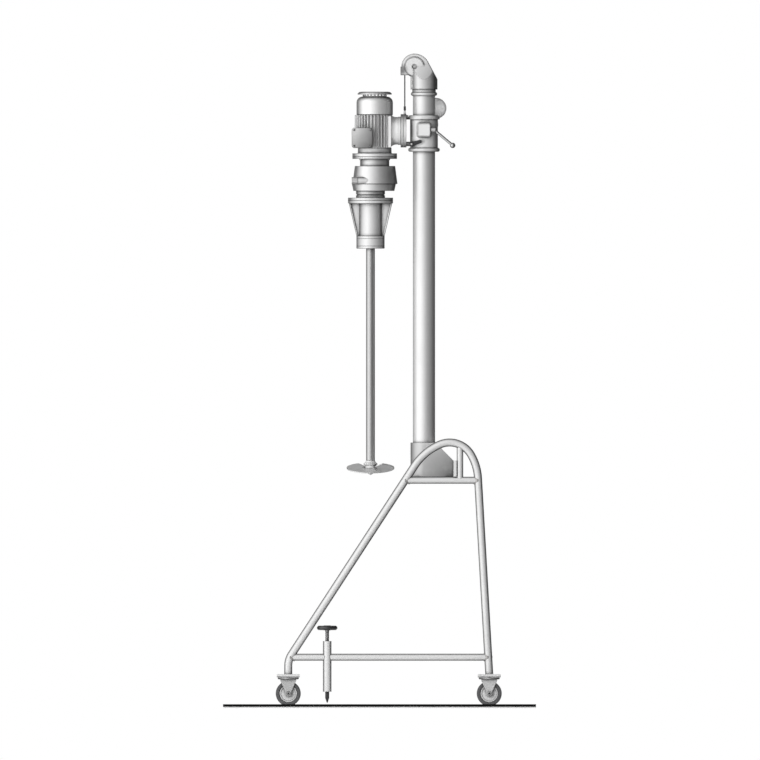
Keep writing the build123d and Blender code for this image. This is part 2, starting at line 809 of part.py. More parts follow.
def swivel_flange():
    """Turning half of the swivel, with the spigot it turns on."""
    disc = cylinder_x(swivel_d / 2, turn_x, turn_x + swivel_turn_t, 0, swivel_z)
    disc += cylinder_x(spigot_d / 2, turn_x + 1, swivel_face_x + spigot_len, 0, swivel_z)
    keep("swivel_flange", disc)


def motor_bracket():
    """Turned arm between the swivel and the pad on the motor."""
    disc_r = mount_disc_d / 2
    waist_x, waist_r = mount_x - 7, disc_r - 1.5
    root_r = disc_r + 7.5
    arm = Plane.XY * make_face(
        Polyline((motor_pad_x, 0), (motor_pad_x, root_r))
        + ThreePointArc((motor_pad_x, root_r), ((motor_pad_x * 3 + waist_x * 2) / 5, (root_r + waist_r * 2) / 3),
                        (waist_x, waist_r))
        + Polyline((waist_x, waist_r), (mount_x, waist_r), (mount_x, disc_r), (turn_x, disc_r),
                   (turn_x, 0), (motor_pad_x, 0)))
    keep("motor_bracket", Pos(0, 0, swivel_z) * revolve(arm, Axis.X))


def motor_frame():
    """Finned motor casing with a flat mounting pad on the column side."""
    solid = cylinder_z(motor_frame_r, motor_x, 0, motor_bottom_z, motor_len)
    for i in range(fin_count):
        fin = block(motor_frame_r - 3, fin_r, -fin_t / 2, fin_t / 2, motor_bottom_z + 2, cowl_z - 2)
        solid += Pos(motor_x, 0, 0) * Rot(0, 0, i * 360 / fin_count) * fin
    solid += block(motor_x, motor_pad_x, -motor_pad_half_w, motor_pad_half_w,
                   motor_bottom_z + 2, motor_top_z - 2)
    solid += cylinder_z(cowl_r - cowl_wall - running_fit, motor_x, 0, motor_top_z - 1,
                        cowl_z - motor_top_z + 7)
    solid -= block(motor_pad_x, motor_pad_x + 60, -100, 100, motor_bottom_z - 1, cowl_z)
    cavity = motor_frame_r - motor_wall
    ceiling = motor_top_z - motor_wall
    seat_r = motor_bearing_r + running_fit
    solid -= cylinder_z(cavity, motor_x, 0, motor_bottom_z - 1, ceiling - motor_bottom_z + 1)
    solid += tube_z(seat_r + 6, seat_r, motor_x, 0, ceiling - motor_bearing_w, motor_bearing_w + 1)
    solid -= cylinder_z(motor_shaft_d / 2 + 1, motor_x, 0, ceiling - 1, cowl_z - ceiling + 20)
    keep("motor_frame", solid)


def motor_inside():
    """Stator, the two motor bearings' seats and the rotor with its shaft and drive disc."""
    cavity = motor_frame_r - motor_wall - seat_gap
    bore = cavity - stator_t
    z0 = motor_bottom_z + 22
    length = motor_len - 52
    keep("stator_core", tube_z(cavity, bore, motor_x, 0, z0, length))
    shaft_r = motor_shaft_d / 2
    bottom = ring_mid_z - drive_disc_t / 2
    shaft_top = cowl_z + 38
    solid = cylinder_z(shaft_r, motor_x, 0, bottom, shaft_top - bottom)
    solid += cylinder_z(bore - rotor_gap, motor_x, 0, z0 + 3, length - 6)
    disc = turned(motor_x, 0, [
        (shaft_r - 1, bottom), (drive_disc_r - 2, bottom), (drive_disc_r, bottom + 4),
        (drive_disc_r, bottom + drive_disc_t - 4), (drive_disc_r - 6, bottom + drive_disc_t),
        (shaft_r - 1, bottom + drive_disc_t)])
    keep("motor_rotor", solid + disc)


def cooling_fan():
    """Radial fan on the motor shaft, under the cowl."""
    shaft_r = motor_shaft_d / 2
    z0 = cowl_z + 14
    hub = tube_z(shaft_r + 8, shaft_r + running_fit, motor_x, 0, z0, 22)
    disc = tube_z(cowl_r - 14, shaft_r + 4, motor_x, 0, z0, 3)
    solid = hub + disc
    for i in range(8):
        blade = block(shaft_r + 6, cowl_r - 15, -1.25, 1.25, z0 + 2, z0 + 20)
        solid += Pos(motor_x, 0, 0) * Rot(0, 0, i * 45) * blade
    keep("cooling_fan", solid)


def fan_cowl():
    """Pressed cowl with rounded shoulders and a ring of intake slots."""
    r, c = cowl_r, cowl_corner_r
    top = cowl_z + cowl_h
    outer = cylinder_z(r, motor_x, 0, cowl_z, cowl_h)
    outer = fillet(outer.edges().sort_by(Axis.Z)[-1], c)
    inner = cylinder_z(r - cowl_wall, motor_x, 0, cowl_z - 1, cowl_h + 1 - cowl_wall)
    inner = fillet(inner.edges().sort_by(Axis.Z)[-1], c - cowl_wall)
    solid = outer - inner
    for i in range(12):
        slot = SlotOverall(26, cowl_slot_w)
        cut = Pos(motor_x, 0, top - 10) * Rot(0, 0, 15 + i * 30) * Pos(26, 0, 0) * extrude(slot, 20)
        solid -= cut
    keep("fan_cowl", solid)


def rain_cap():
    """Rain cap with a turned-down rim, on a slotted neck that lets the air in."""
    r, neck = cap_r, cap_neck_r
    top = cap_z + cap_t
    base = cowl_z + cowl_h + seat_gap
    solid = turned(motor_x, 0, [
        (0, top - cap_skin), (neck - cap_skin, top - cap_skin), (neck - cap_skin, base), (neck, base),
        (neck, top - cap_skin), (r - 10, top - cap_skin), (r - cap_skin, cap_z - 1.5), (r, cap_z - 1.5),
        (r, cap_z + 3), (r - 6, top - 1.5), (r - 15, top), (0, top)])
    pitch = 360 / cap_slot_count
    slot_z = base + 2.5
    for i in range(cap_slot_count):
        slot = block(neck - 8, neck + 4, -cap_slot_w / 2, cap_slot_w / 2, slot_z, top - cap_skin - 1)
        solid -= Pos(motor_x, 0, 0) * Rot(0, 0, (i + 0.5) * pitch) * slot
    keep("rain_cap", solid)


def terminal_box():
    """Terminal box on the near left of the motor, with a lid and a cable entry on its left."""
    x0, z0 = box_left_x, box_bottom_z
    mid_x, mid_z = x0 + box_w / 2, z0 + box_h / 2
    plane = Plane(origin=(mid_x, -box_front_y, mid_z), x_dir=(1, 0, 0), z_dir=(0, -1, 0))
    body = extrude(plane * RectangleRounded(box_w, box_h, box_corner_r), -(box_front_y - box_back_y))
    groove = extrude(plane.offset(-box_lid_t) * (RectangleRounded(box_w + 2, box_h + 2, box_corner_r + 1)
                     - RectangleRounded(box_w - 2, box_h - 2, box_corner_r - 1)), -1.5)
    bow = cylinder_z(box_bow_r, mid_x, box_bow_r - box_front_y, z0 - 1, box_h + 2)
    body &= bow
    body = fillet(body.faces().sort_by(Axis.Y)[0].edges(), 4)
    body -= groove
    body -= cylinder_z(fin_r + seat_gap, motor_x, 0, z0 - 1, box_h + 2)
    body -= cylinder_x(cable_entry_r, x0 - 1, x0 + cable_entry_len, -cable_entry_y, mid_z)
    keep("terminal_box", body.solids().sort_by(SortBy.VOLUME)[-1])


def motor_flange():
    """Lower end shield with its flange and the seat of the lower motor bearing."""
    top = motor_bottom_z
    mid = top - shield_h
    bore = motor_bearing_r + running_fit
    solid = turned(motor_x, 0, [
        (bore, flange_z + 3), (bore, top), (shield_r, top), (shield_r, mid + 3), (shield_r + 3, mid),
        (flange_r, mid), (flange_r, flange_z), (bore - 8, flange_z), (bore - 8, flange_z + 3)])
    keep("motor_flange", solid)


def tapered(x, r0, z0, r1, z1):
    """Cone between two heights."""
    return turned(x, 0, [(0, z0), (r0, z0), (r1, z1), (0, z1)])


def variator_housing():
    """Housing between the motor flange and the seam, with the collar of the speed knob."""
    neck_top = flange_z - variator_flange_t
    collar_x = knob_left_x + knob_len + 1
    wall = variator_wall
    solid = cylinder_z(flange_r, motor_x, 0, neck_top, variator_flange_t)
    solid += cylinder_z(variator_neck_r, motor_x, 0, variator_z - 1, variator_neck_h + 2)
    solid += tapered(variator_x, variator_seam_r, seam_z, variator_top_r, variator_z)
    solid += cylinder_x(knob_d / 2, collar_x, variator_x, -knob_y, knob_z)
    solid -= cylinder_x(knob_d / 2 + 1, knob_left_x - 1, collar_x, -knob_y, knob_z)
    solid -= cylinder_z(variator_seam_r + knob_d, variator_x, 0, seam_z - knob_d, knob_d)
    solid -= cylinder_z(variator_neck_r - wall, motor_x, 0, variator_z - wall, variator_neck_h + wall)
    solid -= cylinder_z(motor_shaft_d, motor_x, 0, neck_top - 1, variator_flange_t + 2)
    inner = tapered(variator_x, variator_seam_r - wall, seam_z - 1, variator_top_r - wall, variator_z - wall)
    inner -= cylinder_x(knob_d / 2, collar_x, variator_x, -knob_y, knob_z)
    solid -= inner
    spindle = knob_spindle_d / 2 + running_fit
    solid -= cylinder_x(spindle, collar_x - 1, collar_x + 30, -knob_y, knob_z)
    keep("variator_housing", solid.solids().sort_by(SortBy.VOLUME)[-1])


def variator_cover():
    """Lower cover with the outlet neck and flange, on the output axis."""
    wall = variator_wall
    solid = tapered(variator_cover_x, variator_cover_end_r, cover_z, variator_cover_r, seam_z)
    neck_z = outlet_flange_z + outlet_flange_t
    solid += cylinder_z(outlet_neck_r, output_x, 0, neck_z - 1, outlet_neck_h + 2)
    solid += cylinder_z(outlet_flange_r, output_x, 0, outlet_flange_z, outlet_flange_t)
    solid -= tapered(variator_cover_x, variator_cover_end_r - wall, cover_z + wall,
                     variator_cover_r - wall, seam_z + 1)
    groove_z = neck_z + outlet_neck_h * 0.35
    solid -= tube_z(outlet_neck_r + 1, outlet_neck_r - 3, output_x, 0, groove_z, 4)
    solid -= cylinder_z(output_hub_r + 3, output_x, 0, outlet_flange_z - 1, seam_z - outlet_flange_z)
    keep("variator_cover", solid)


def variator_knob():
    """Speed knob with its spindle."""
    x1 = knob_left_x + knob_len
    knob = cylinder_x(knob_d / 2, knob_left_x, x1, -knob_y, knob_z)
    for i in range(12):
        a = radians(i * 30)
        y = -knob_y + (knob_d / 2 + 1) * cos(a)
        z = knob_z + (knob_d / 2 + 1) * sin(a)
        knob -= cylinder_x(2, knob_left_x + 3, x1 - 3, y, z)
    knob += cylinder_x(knob_spindle_d / 2, x1 - 1, x1 + 28, -knob_y, knob_z)
    keep("variator_knob", knob)


def friction_ring():
    """Driven ring around the drive disc, with the hub that holds the mixing shaft."""
    z1 = ring_mid_z + ring_h / 2
    z0 = ring_mid_z - ring_h / 2
    web_z = z0 - ring_web_t
    outer = ring_inner_r + ring_wall
    bore = shaft_d / 2
    hub_z = outlet_flange_z + 6
    solid = turned(output_x, 0, [
        (bore + running_fit, hub_z), (output_hub_r, hub_z), (output_hub_r, web_z), (outer, web_z),
        (outer, z1), (ring_inner_r, z1), (ring_inner_r, z0), (bore + running_fit, z0)])
    keep("friction_ring", solid)


def lantern():
    """Lantern: top flange and foot ring joined by two T-shaped ribs, fore and aft."""
    top, z0 = outlet_flange_z, lantern_bottom_z + lantern_ring_h
    bore = bearing_tube_r + seat_gap
    wall = lantern_wall
    strips = turned(output_x, 0, [
        (lantern_top_r - wall, lantern_z), (lantern_foot_r - wall, z0), (lantern_foot_r, z0),
        (lantern_top_r, lantern_z)])
    reach = 2 * lantern_top_r
    spread = reach * tan(radians(lantern_strip_half_angle))
    wedge = make_face(Polyline((0, 0), (reach, spread), (reach, -spread), close=True))
    wedge += make_face(Polyline((0, 0), (-reach, spread), (-reach, -spread), close=True))
    strips &= Pos(output_x, 0, z0) * extrude(wedge, lantern_z - z0)
    web = turned(output_x, 0, [
        (bore, z0), (lantern_foot_r - 1, z0), (lantern_top_r - 1, lantern_z), (bore, lantern_z)])
    web &= block(output_x - reach, output_x + reach, -lantern_web_t / 2, lantern_web_t / 2, z0, lantern_z)
    solid = tube_z(outlet_flange_r, bore, output_x, 0, lantern_z, top - lantern_z)
    solid += tube_z(lantern_foot_r, bore, output_x, 0, lantern_bottom_z, lantern_ring_h)
    keep("lantern", solid + web + strips)


def bearing_housing():
    """Bearing tube hung from the lantern's foot, with its end cap."""
    bore = bearing_r + running_fit
    top = lantern_z + lantern_flange_t - 1
    mid = lantern_bottom_z - bearing_house_h
    throat = shaft_d / 2 + 3
    tube = turned(output_x, 0, [
        (bore, mid), (lantern_foot_r, mid), (lantern_foot_r, lantern_bottom_z),
        (bearing_tube_r, lantern_bottom_z), (bearing_tube_r, top), (throat, top),
        (throat, top - 5), (bore, top - 5)])
    cap = turned(output_x, 0, [
        (throat, bearing_cap_z), (lantern_foot_r - 1.5, bearing_cap_z), (lantern_foot_r, bearing_cap_z + 1.5),
        (lantern_foot_r, mid), (throat, mid)])
    keep("bearing_housing", tube, cap)


def ball_bearing(x, r, bore_r, z, w):
    """Ball bearing with its shield lines, as one ring."""
    step = 1.0
    mid = (r + bore_r) / 2
    quarter = (r - bore_r) / 4
    return turned(x, 0, [
        (bore_r, z), (mid - quarter, z), (mid - quarter, z + step), (mid + quarter, z + step),
        (mid + quarter, z), (r, z), (r, z + w), (mid + quarter, z + w), (mid + quarter, z + w - step),
        (mid - quarter, z + w - step), (mid - quarter, z + w), (bore_r, z + w)])


def ball_bearings():
    """Two bearings on the motor shaft and two on the mixing shaft."""
    motor_bore = motor_shaft_d / 2 + running_fit
    output_bore = shaft_d / 2 + running_fit
    low_seat = lantern_bottom_z - bearing_house_h
    high_seat = lantern_z + lantern_flange_t - 6 - bearing_w
    ceiling = motor_top_z - motor_wall
    w, r = motor_bearing_w, motor_bearing_r
    keep(
        "ball_bearings",
        ball_bearing(motor_x, r, motor_bore, flange_z + 3 + seat_gap, w),
        ball_bearing(motor_x, r, motor_bore, ceiling - w - seat_gap, w),
        ball_bearing(output_x, bearing_r, output_bore, low_seat + seat_gap, bearing_w),
        ball_bearing(output_x, bearing_r, output_bore, high_seat - seat_gap, bearing_w),
    )


def mixing_shaft():
    """Long mixing shaft, from the friction ring down to the impeller."""
    top = ring_mid_z - ring_h / 2
    z0 = shaft_bottom_z + impeller_hub_high
    journal_z = shaft_bottom_z - impeller_hub_low
    solid = cylinder_z(shaft_d / 2, output_x, 0, z0, top - z0)
    solid = chamfer(solid.edges().sort_by(Axis.Z)[-1], 1.5)
    solid += cylinder_z(shaft_d / 2 - impeller_journal_step, output_x, 0, journal_z, z0 - journal_z + 1)
    keep("mixing_shaft", solid)


def half_disc():
    """One blade, flat on its own plane and to the +X side of the hub."""
    r, slit = impeller_r, impeller_slit
    end_y = sqrt(r**2 - slit**2)
    outline = make_face(
        Line((slit, -end_y), (slit, end_y)) + ThreePointArc((slit, end_y), (r, 0), (slit, -end_y)))
    return extrude(outline, impeller_t / 2, both=True)


def impeller():
    """Impeller of two half-disc blades pitched opposite ways, on a flared hub with its nut."""
    bore = shaft_d / 2 - impeller_journal_step + running_fit
    low, high = -impeller_hub_low, impeller_hub_high
    collar = impeller_collar_r
    hub = turned(0, 0, [
        (bore, low), (impeller_hub_r, low), (impeller_hub_r, high - 20), (collar, high - 16),
        (collar, high - 12), (shaft_d / 2 + 3, high - 6), (shaft_d / 2 + 1, high), (bore, high)])
    blade = Rot(-impeller_pitch, 0, 0) * Rot(0, 0, impeller_skew) * half_disc()
    blades = blade + Rot(0, 0, 180) * blade
    blades -= Cylinder(impeller_hub_r - 2, 4 * impeller_r)
    solid = Pos(output_x, 0, shaft_bottom_z) * (hub + blades)
    nut_top = shaft_bottom_z - impeller_hub_low - seat_gap
    nut = turned(output_x, 0, [
        (0, nut_top - impeller_nut_h), (1.5, nut_top - impeller_nut_h),
        (impeller_nut_r - 2, nut_top - 4), (impeller_nut_r, nut_top), (0, nut_top)])
    keep("impeller", solid, nut)


# Jacks and casters


def jacks():
    """Two screw jacks: guide tube, foot, screw and handwheel each."""
    tubes = []
    for side in (near, far):
        y = side * track / 2
        name = side_names[side]
        r = jack_tube_d / 2
        screw_r = jack_screw_d / 2
        bore = r - jack_tube_wall
        tube = cylinder_z(r, jack_x, y, jack_tube_z, jack_tube_len)
        tube -= cylinder_z(bore, jack_x, y, jack_tube_z - 1, jack_tube_len - jack_nut_h + 1)
        tube -= cylinder_z(screw_r + running_fit, jack_x, y, jack_tube_z, jack_tube_len + 2)
        tubes.append(tube)
        collar_z = jack_joint_z - jack_collar_h
        foot = turned(jack_x, y, [
            (0, jack_tip_z), (1.5, jack_tip_z), (screw_r, jack_tip_z + jack_point_h), (screw_r, collar_z),
            (bore - running_fit, collar_z), (bore - running_fit, jack_joint_z), (0, jack_joint_z)])
        pivot_r = jack_pivot_d / 2
        foot -= cylinder_z(pivot_r + running_fit, jack_x, y, jack_joint_z - jack_pivot_h, jack_pivot_h + 1)
        keep(f"jack_foot_{name}", foot)
        screw_z = jack_joint_z + body_gap
        screw = cylinder_z(screw_r, jack_x, y, screw_z, handwheel_z + handwheel_h - screw_z)
        screw += cylinder_z(pivot_r, jack_x, y, screw_z - jack_pivot_h, jack_pivot_h + 1)
        keep(f"jack_screw_{name}", screw)
        mid = handwheel_z + handwheel_h / 2
        rim_r = handwheel_rim_d / 2
        path_r = handwheel_d / 2 - rim_r
        wheel = Pos(jack_x, y, mid) * Torus(path_r, rim_r)
        hub = tube_z(screw_r + 6, screw_r + running_fit, jack_x, y, handwheel_z, handwheel_h)
        for i in range(3):
            spoke = cylinder_x(spoke_d / 2, screw_r + 3, path_r, 0, 0)
            wheel += Pos(jack_x, y, mid) * Rot(0, 0, 90 + i * 120) * spoke
        keep(f"jack_handwheel_{name}", wheel + hub)
    keep("jack_tubes", *tubes)


def caster_fork(x, y):
    """Swivel fork with its race and axle bolt."""
    leg_y = tyre_w / 2 + wheel_gap
    out_y = leg_y + fork_t
    race = cylinder_z(race_d / 2, x, y, race_z, race_h)
    race = chamfer(race.edges().sort_by(Axis.Z)[0], 3)
    crown = block(x - fork_half_w, x + fork_half_w, y - out_y, y + out_y, crown_z, race_z)
    fork = race + crown
    tangent = atan2(crown_z - wheel_r, fork_half_w)
    a = tangent + acos(fork_tip_r / hypot(fork_half_w, crown_z - wheel_r)) - pi / 2
    touch_x = fork_tip_r * cos(a - pi / 2 + pi / 2)
    touch_z = fork_tip_r * sin(a)
    outline = make_face(Polyline(
        (-fork_half_w, crown_z), (-abs(touch_x), wheel_r - abs(touch_z) * 0.2),
        (abs(touch_x), wheel_r - abs(touch_z) * 0.2), (fork_half_w, crown_z), close=True))
    for side in (near, far):
        mid_y = side * (leg_y + fork_t / 2)
        plate = extrude(Plane.XZ * outline, fork_t / 2, both=True)
        plate += cylinder_y(fork_tip_r, 0, -fork_t / 2, fork_t / 2, wheel_r)
        fork += Pos(x, y + mid_y, 0) * plate
    axle_r = caster_axle_d / 2
    fork -= cylinder_y(axle_r + running_fit, x, y - out_y - 1, y + out_y + 1, wheel_r)
    fork -= cylinder_z(kingpin_d / 2 + running_fit, x, y, crown_z - 1, 20)
    axle = cylinder_y(axle_r, x, y - out_y - 5, y + out_y + 5, wheel_r)
    for side in (near, far):
        y0 = y + side * (out_y + seat_gap)
        axle += cylinder_y(axle_r + 3, x, y0, y0 + side * 5, wheel_r)
    return fork, axle


def casters():
    """Four swivel casters: plate with kingpin, fork with axle, wheel and tyre."""
    plates = []
    for end in (front, rear):
        for side in (near, far):
            x, y = end * wheelbase / 2, side * track / 2
            name = f"{end_names[end]}_{side_names[side]}"
            half = caster_plate / 2
            plate = block(x - half, x + half, y - half, y + half, plate_z, foot_plate_z)
            plate += cylinder_z(kingpin_d / 2, x, y, crown_z - 1, plate_z - crown_z + 2)
            plate += cylinder_z(kingpin_head_d / 2, x, y, crown_z - kingpin_head_t, kingpin_head_t - body_gap)
            plates.append(plate)
            keep(f"caster_fork_{name}", *caster_fork(x, y))
            rim_r = wheel_r - tyre_t
            hub_half = tyre_w / 2 + wheel_gap - 0.5
            web_half = tyre_w / 2 - 6
            axle_r = caster_axle_d / 2 + running_fit
            profile = make_face(Polyline(
                (axle_r, -hub_half), (axle_r + 5, -hub_half), (axle_r + 7, -web_half),
                (rim_r - 6, -web_half), (rim_r - 4, -web_half - 3), (rim_r, -web_half - 3),
                (rim_r, web_half + 3), (rim_r - 4, web_half + 3), (rim_r - 6, web_half),
                (axle_r + 7, web_half), (axle_r + 5, hub_half), (axle_r, hub_half), close=True))
            keep(f"caster_wheel_{name}", Pos(x, y, wheel_r) * revolve(profile, Axis.Y))
            half_w = tyre_w / 2
            tread = wheel_r - rim_r - seat_gap
            band = Pos(rim_r + seat_gap + tread / 2, 0) * RectangleRounded(tread, 2 * half_w, 5)
            keep(f"caster_tyre_{name}", Pos(x, y, wheel_r) * revolve(band, Axis.Y))
    keep("caster_plates", *plates)


side_frames()
cross_members()
column_bracket()
head_casting()
head_pulley()
ropes()
counterweight()
carriage_sleeve()
clamp_lever()
lock_lever()
swivel_plate()
ball_grip()
swivel_flange()
motor_bracket()
motor_frame()
motor_inside()
cooling_fan()
fan_cowl()
rain_cap()
terminal_box()
motor_flange()
variator_housing()
variator_cover()
variator_knob()
friction_ring()
lantern()
bearing_housing()
ball_bearings()
mixing_shaft()
impeller()
jacks()
casters()

os.makedirs("parts", exist_ok=True)
for node, solids in parts.items():
    shape = solids[0] if len(solids) == 1 else Compound(children=solids)
    export_step(shape, f"parts/{node}.step")
print(len(parts), "nodes")
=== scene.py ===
"""Mobile emulsifier: finishes, fasteners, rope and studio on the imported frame.

Metres, +Z up, origin on the floor. -Y is the near side and +X the push-handle side.
"""

from __future__ import annotations

import json
import logging
from dataclasses import dataclass
from enum import Enum
from functools import cache
from itertools import product
from math import cos, pi, radians, sin, sqrt
from typing import Callable, Iterable, Sequence

import bmesh
import bpy
from mathutils import Matrix, Vector

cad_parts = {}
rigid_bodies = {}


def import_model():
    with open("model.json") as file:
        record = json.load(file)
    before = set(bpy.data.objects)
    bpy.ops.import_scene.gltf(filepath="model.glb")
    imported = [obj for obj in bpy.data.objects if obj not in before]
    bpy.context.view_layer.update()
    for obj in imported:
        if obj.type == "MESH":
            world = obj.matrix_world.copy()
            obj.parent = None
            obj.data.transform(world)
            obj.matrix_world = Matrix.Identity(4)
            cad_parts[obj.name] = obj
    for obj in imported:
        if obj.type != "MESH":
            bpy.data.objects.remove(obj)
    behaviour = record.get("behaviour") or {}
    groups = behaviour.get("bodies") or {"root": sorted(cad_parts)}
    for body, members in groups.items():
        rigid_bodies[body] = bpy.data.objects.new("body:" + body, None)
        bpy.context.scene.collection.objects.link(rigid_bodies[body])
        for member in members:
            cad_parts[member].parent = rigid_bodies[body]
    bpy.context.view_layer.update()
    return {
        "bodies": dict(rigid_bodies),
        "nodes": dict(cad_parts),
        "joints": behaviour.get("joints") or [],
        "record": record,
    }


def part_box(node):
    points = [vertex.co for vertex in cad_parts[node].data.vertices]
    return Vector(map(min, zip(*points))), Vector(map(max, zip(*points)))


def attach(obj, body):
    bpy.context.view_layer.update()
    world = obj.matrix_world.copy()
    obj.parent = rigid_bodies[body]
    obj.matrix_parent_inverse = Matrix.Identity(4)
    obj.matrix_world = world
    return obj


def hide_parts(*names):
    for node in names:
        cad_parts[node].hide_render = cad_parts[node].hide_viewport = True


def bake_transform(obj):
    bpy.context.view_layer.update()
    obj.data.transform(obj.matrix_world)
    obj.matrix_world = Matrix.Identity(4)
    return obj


log = logging.getLogger("emulsifier")

Point = tuple[float, float, float]
Color = tuple[float, float, float]

NEAR, FAR = -1, 1
TRACK = 0.600
WHEELBASE = 0.804
SMOOTH = radians(35.0)
# How far the painted shade in inner corners reaches, in metres.
CREVICE_SHADE_REACH = 0.016


class Facing(Enum):
    """Which way a round piece's axis points."""

    UP = (0.0, 0.0, 1.0)
    DOWN = (0.0, 0.0, -1.0)
    NEAR = (0.0, -1.0, 0.0)
    FAR = (0.0, 1.0, 0.0)


class Drive(Enum):
    """The kind of a screw's head, with its number of sides."""

    HEX = 6
    FLUSH = 28


# Shader groups


class Wiring:
    """Short helpers for laying nodes in one tree."""

    def __init__(self, tree: bpy.types.NodeTree) -> None:
        """Keeps the tree to work in."""
        self.tree = tree

    def node(self, kind: str, **settings: object) -> bpy.types.Node:
        """Adds a node.

        Args:
            kind: The node's type.
            settings: Its properties.

        Returns:
            The new node.
        """
        node = self.tree.nodes.new(kind)
        for key, value in settings.items():
            setattr(node, key, value)
        return node

    def feed(self, value: object, target: bpy.types.NodeSocket) -> None:
        """Gives an input a socket, a number or a colour.

        Args:
            value: A socket to join, or what the input is set to.
            target: The input.
        """
        if isinstance(value, bpy.types.NodeSocket):
            self.tree.links.new(value, target)
        elif isinstance(value, tuple):
            target.default_value = (*value, 1.0)
        else:
            target.default_value = value

    def math(self, operation: str, a: object, b: object = 0.0, clamp: bool = False) -> bpy.types.NodeSocket:
        """Adds a Math node.

        Args:
            operation: The operation's name.
            a: A number or a socket.
            b: A number or a socket.
            clamp: Whether the result is held between 0 and 1.

        Returns:
            The result's socket.
        """
        node = self.node("ShaderNodeMath", operation=operation, use_clamp=clamp)
        self.feed(a, node.inputs[0])
        self.feed(b, node.inputs[1])
        return node.outputs[0]

    def times(self, a: object, b: object, clamp: bool = False) -> bpy.types.NodeSocket:
        """Multiplies two numbers or sockets."""
        return self.math("MULTIPLY", a, b, clamp)

    def noise(self, vector: bpy.types.NodeSocket, scale: object, detail: float) -> bpy.types.NodeSocket:
        """Adds a Noise Texture.

        Args:
            vector: The coordinates.
            scale: A number or a socket.
            detail: The number of octaves.

        Returns:
            The value's socket.
        """
        node = self.node("ShaderNodeTexNoise")
        self.feed(vector, node.inputs["Vector"])
        self.feed(scale, node.inputs["Scale"])
        self.feed(detail, node.inputs["Detail"])
        return node.outputs["Fac"]

    def place(self) -> bpy.types.NodeSocket:
        """The object's own coordinates."""
        return self.node("ShaderNodeTexCoord").outputs["Object"]

    def ramp(self, value: bpy.types.NodeSocket, low: object, high: object) -> bpy.types.NodeSocket:
        """Spreads a range of values over 0 to 1.

        Args:
            value: The socket to read.
            low: The value that becomes 0, or its socket.
            high: The value that becomes 1, or its socket.

        Returns:
            The spread value's socket.
        """
        node = self.node("ShaderNodeMapRange", clamp=True)
        self.feed(value, node.inputs["Value"])
        self.feed(low, node.inputs["From Min"])
        self.feed(high, node.inputs["From Max"])
        return node.outputs["Result"]

    def near(self, a: bpy.types.NodeSocket, b: object) -> bpy.types.NodeSocket:
        """How well two directions agree: 1 along each other, 0 across.

        Args:
            a: A direction's socket.
            b: A direction's socket, or a fixed direction.

        Returns:
            The dot product's socket.
        """
        node = self.node("ShaderNodeVectorMath", operation="DOT_PRODUCT")
        self.feed(a, node.inputs[0])
        self.feed(b, node.inputs[1])
        return node.outputs["Value"]

    def mix(self, mask: bpy.types.NodeSocket, low: object, high: object) -> bpy.types.NodeSocket:
        """Mixes two colours.

        Args:
            mask: 0 gives the first colour, 1 the second.
            low: A colour or a socket.
            high: A colour or a socket.

        Returns:
            The mixed colour's socket.
        """
        node = self.node("ShaderNodeMix", data_type="RGBA")
        for index, value in ((0, mask), (6, low), (7, high)):
            self.feed(value, node.inputs[index])
        return node.outputs[2]

    def use(self, build: Callable[[], bpy.types.ShaderNodeTree], **values: float) -> bpy.types.NodeOutputs:
        """Places a shared group.

        Args:
            build: The function that builds the group.
            values: Values for its inputs.

        Returns:
            The group's output sockets.
        """
        node = self.node("ShaderNodeGroup", node_tree=build())
        for key, value in values.items():
            node.inputs[key].default_value = value
        return node.outputs


def group(name: str, inputs: dict[str, float], outputs: Sequence[str] = ("Mask",),
          kind: str = "NodeSocketFloat") -> tuple[Wiring, bpy.types.NodeOutputs, bpy.types.NodeInputs]:
    """Makes an empty shader group with its sockets.

    Args:
        name: The group's name.
        inputs: Input names with their default values.
        outputs: Output names.
        kind: The socket type of the outputs.

    Returns:
        The group's wiring, the sockets that it is given and the sockets that it gives.
    """
    tree = bpy.data.node_groups.new(name, "ShaderNodeTree")
    for label, value in inputs.items():
        socket = tree.interface.new_socket(name=label, in_out="INPUT", socket_type="NodeSocketFloat")
        socket.default_value = value
    for label in outputs:
        tree.interface.new_socket(name=label, in_out="OUTPUT", socket_type=kind)
    return Wiring(tree), tree.nodes.new("NodeGroupInput").outputs, tree.nodes.new("NodeGroupOutput").inputs


@cache
def edge_line() -> bpy.types.ShaderNodeTree:
    """Builds the group that finds outer edges, for a patchy painted shade line along them.

    Returns:
        The group: Width and Reach in, Mask out.
    """
    w, given, gives = group("edge_line", {"Width": 0.002, "Reach": 1.0})
    bevel = w.node("ShaderNodeBevel", samples=3)
    w.feed(given["Width"], bevel.inputs["Radius"])
    facing = w.node("ShaderNodeNewGeometry").outputs["Normal"]
    turned = w.math("SUBTRACT", 1.0, w.near(bevel.outputs["Normal"], facing))
    patchy = w.ramp(w.noise(w.place(), 60.0, 4.0), -0.2, 0.5)
    # Painted shade along outer edges, patchy.
    edge_shade_mask = w.times(w.ramp(turned, 0.035, 0.12), patchy)
    w.feed(w.times(edge_shade_mask, given["Reach"], clamp=True), gives["Mask"])
    return w.tree


@cache
def settled_dust() -> bpy.types.ShaderNodeTree:
    """Builds the group that settles dust on faces that look up.

    Returns:
        The group: Amount and Scale in, Mask out.
    """
    w, given, gives = group("settled_dust", {"Amount": 0.3, "Scale": 40.0})
    parts = w.node("ShaderNodeSeparateXYZ")
    w.feed(w.node("ShaderNodeNewGeometry").outputs["Normal"], parts.inputs[0])
    up = w.ramp(parts.outputs["Z"], 0.45, 1.0)
    cloud = w.ramp(w.noise(w.place(), given["Scale"], 5.0), 0.3, 0.7)
    w.feed(w.times(w.times(up, cloud), given["Amount"], clamp=True), gives["Mask"])
    return w.tree


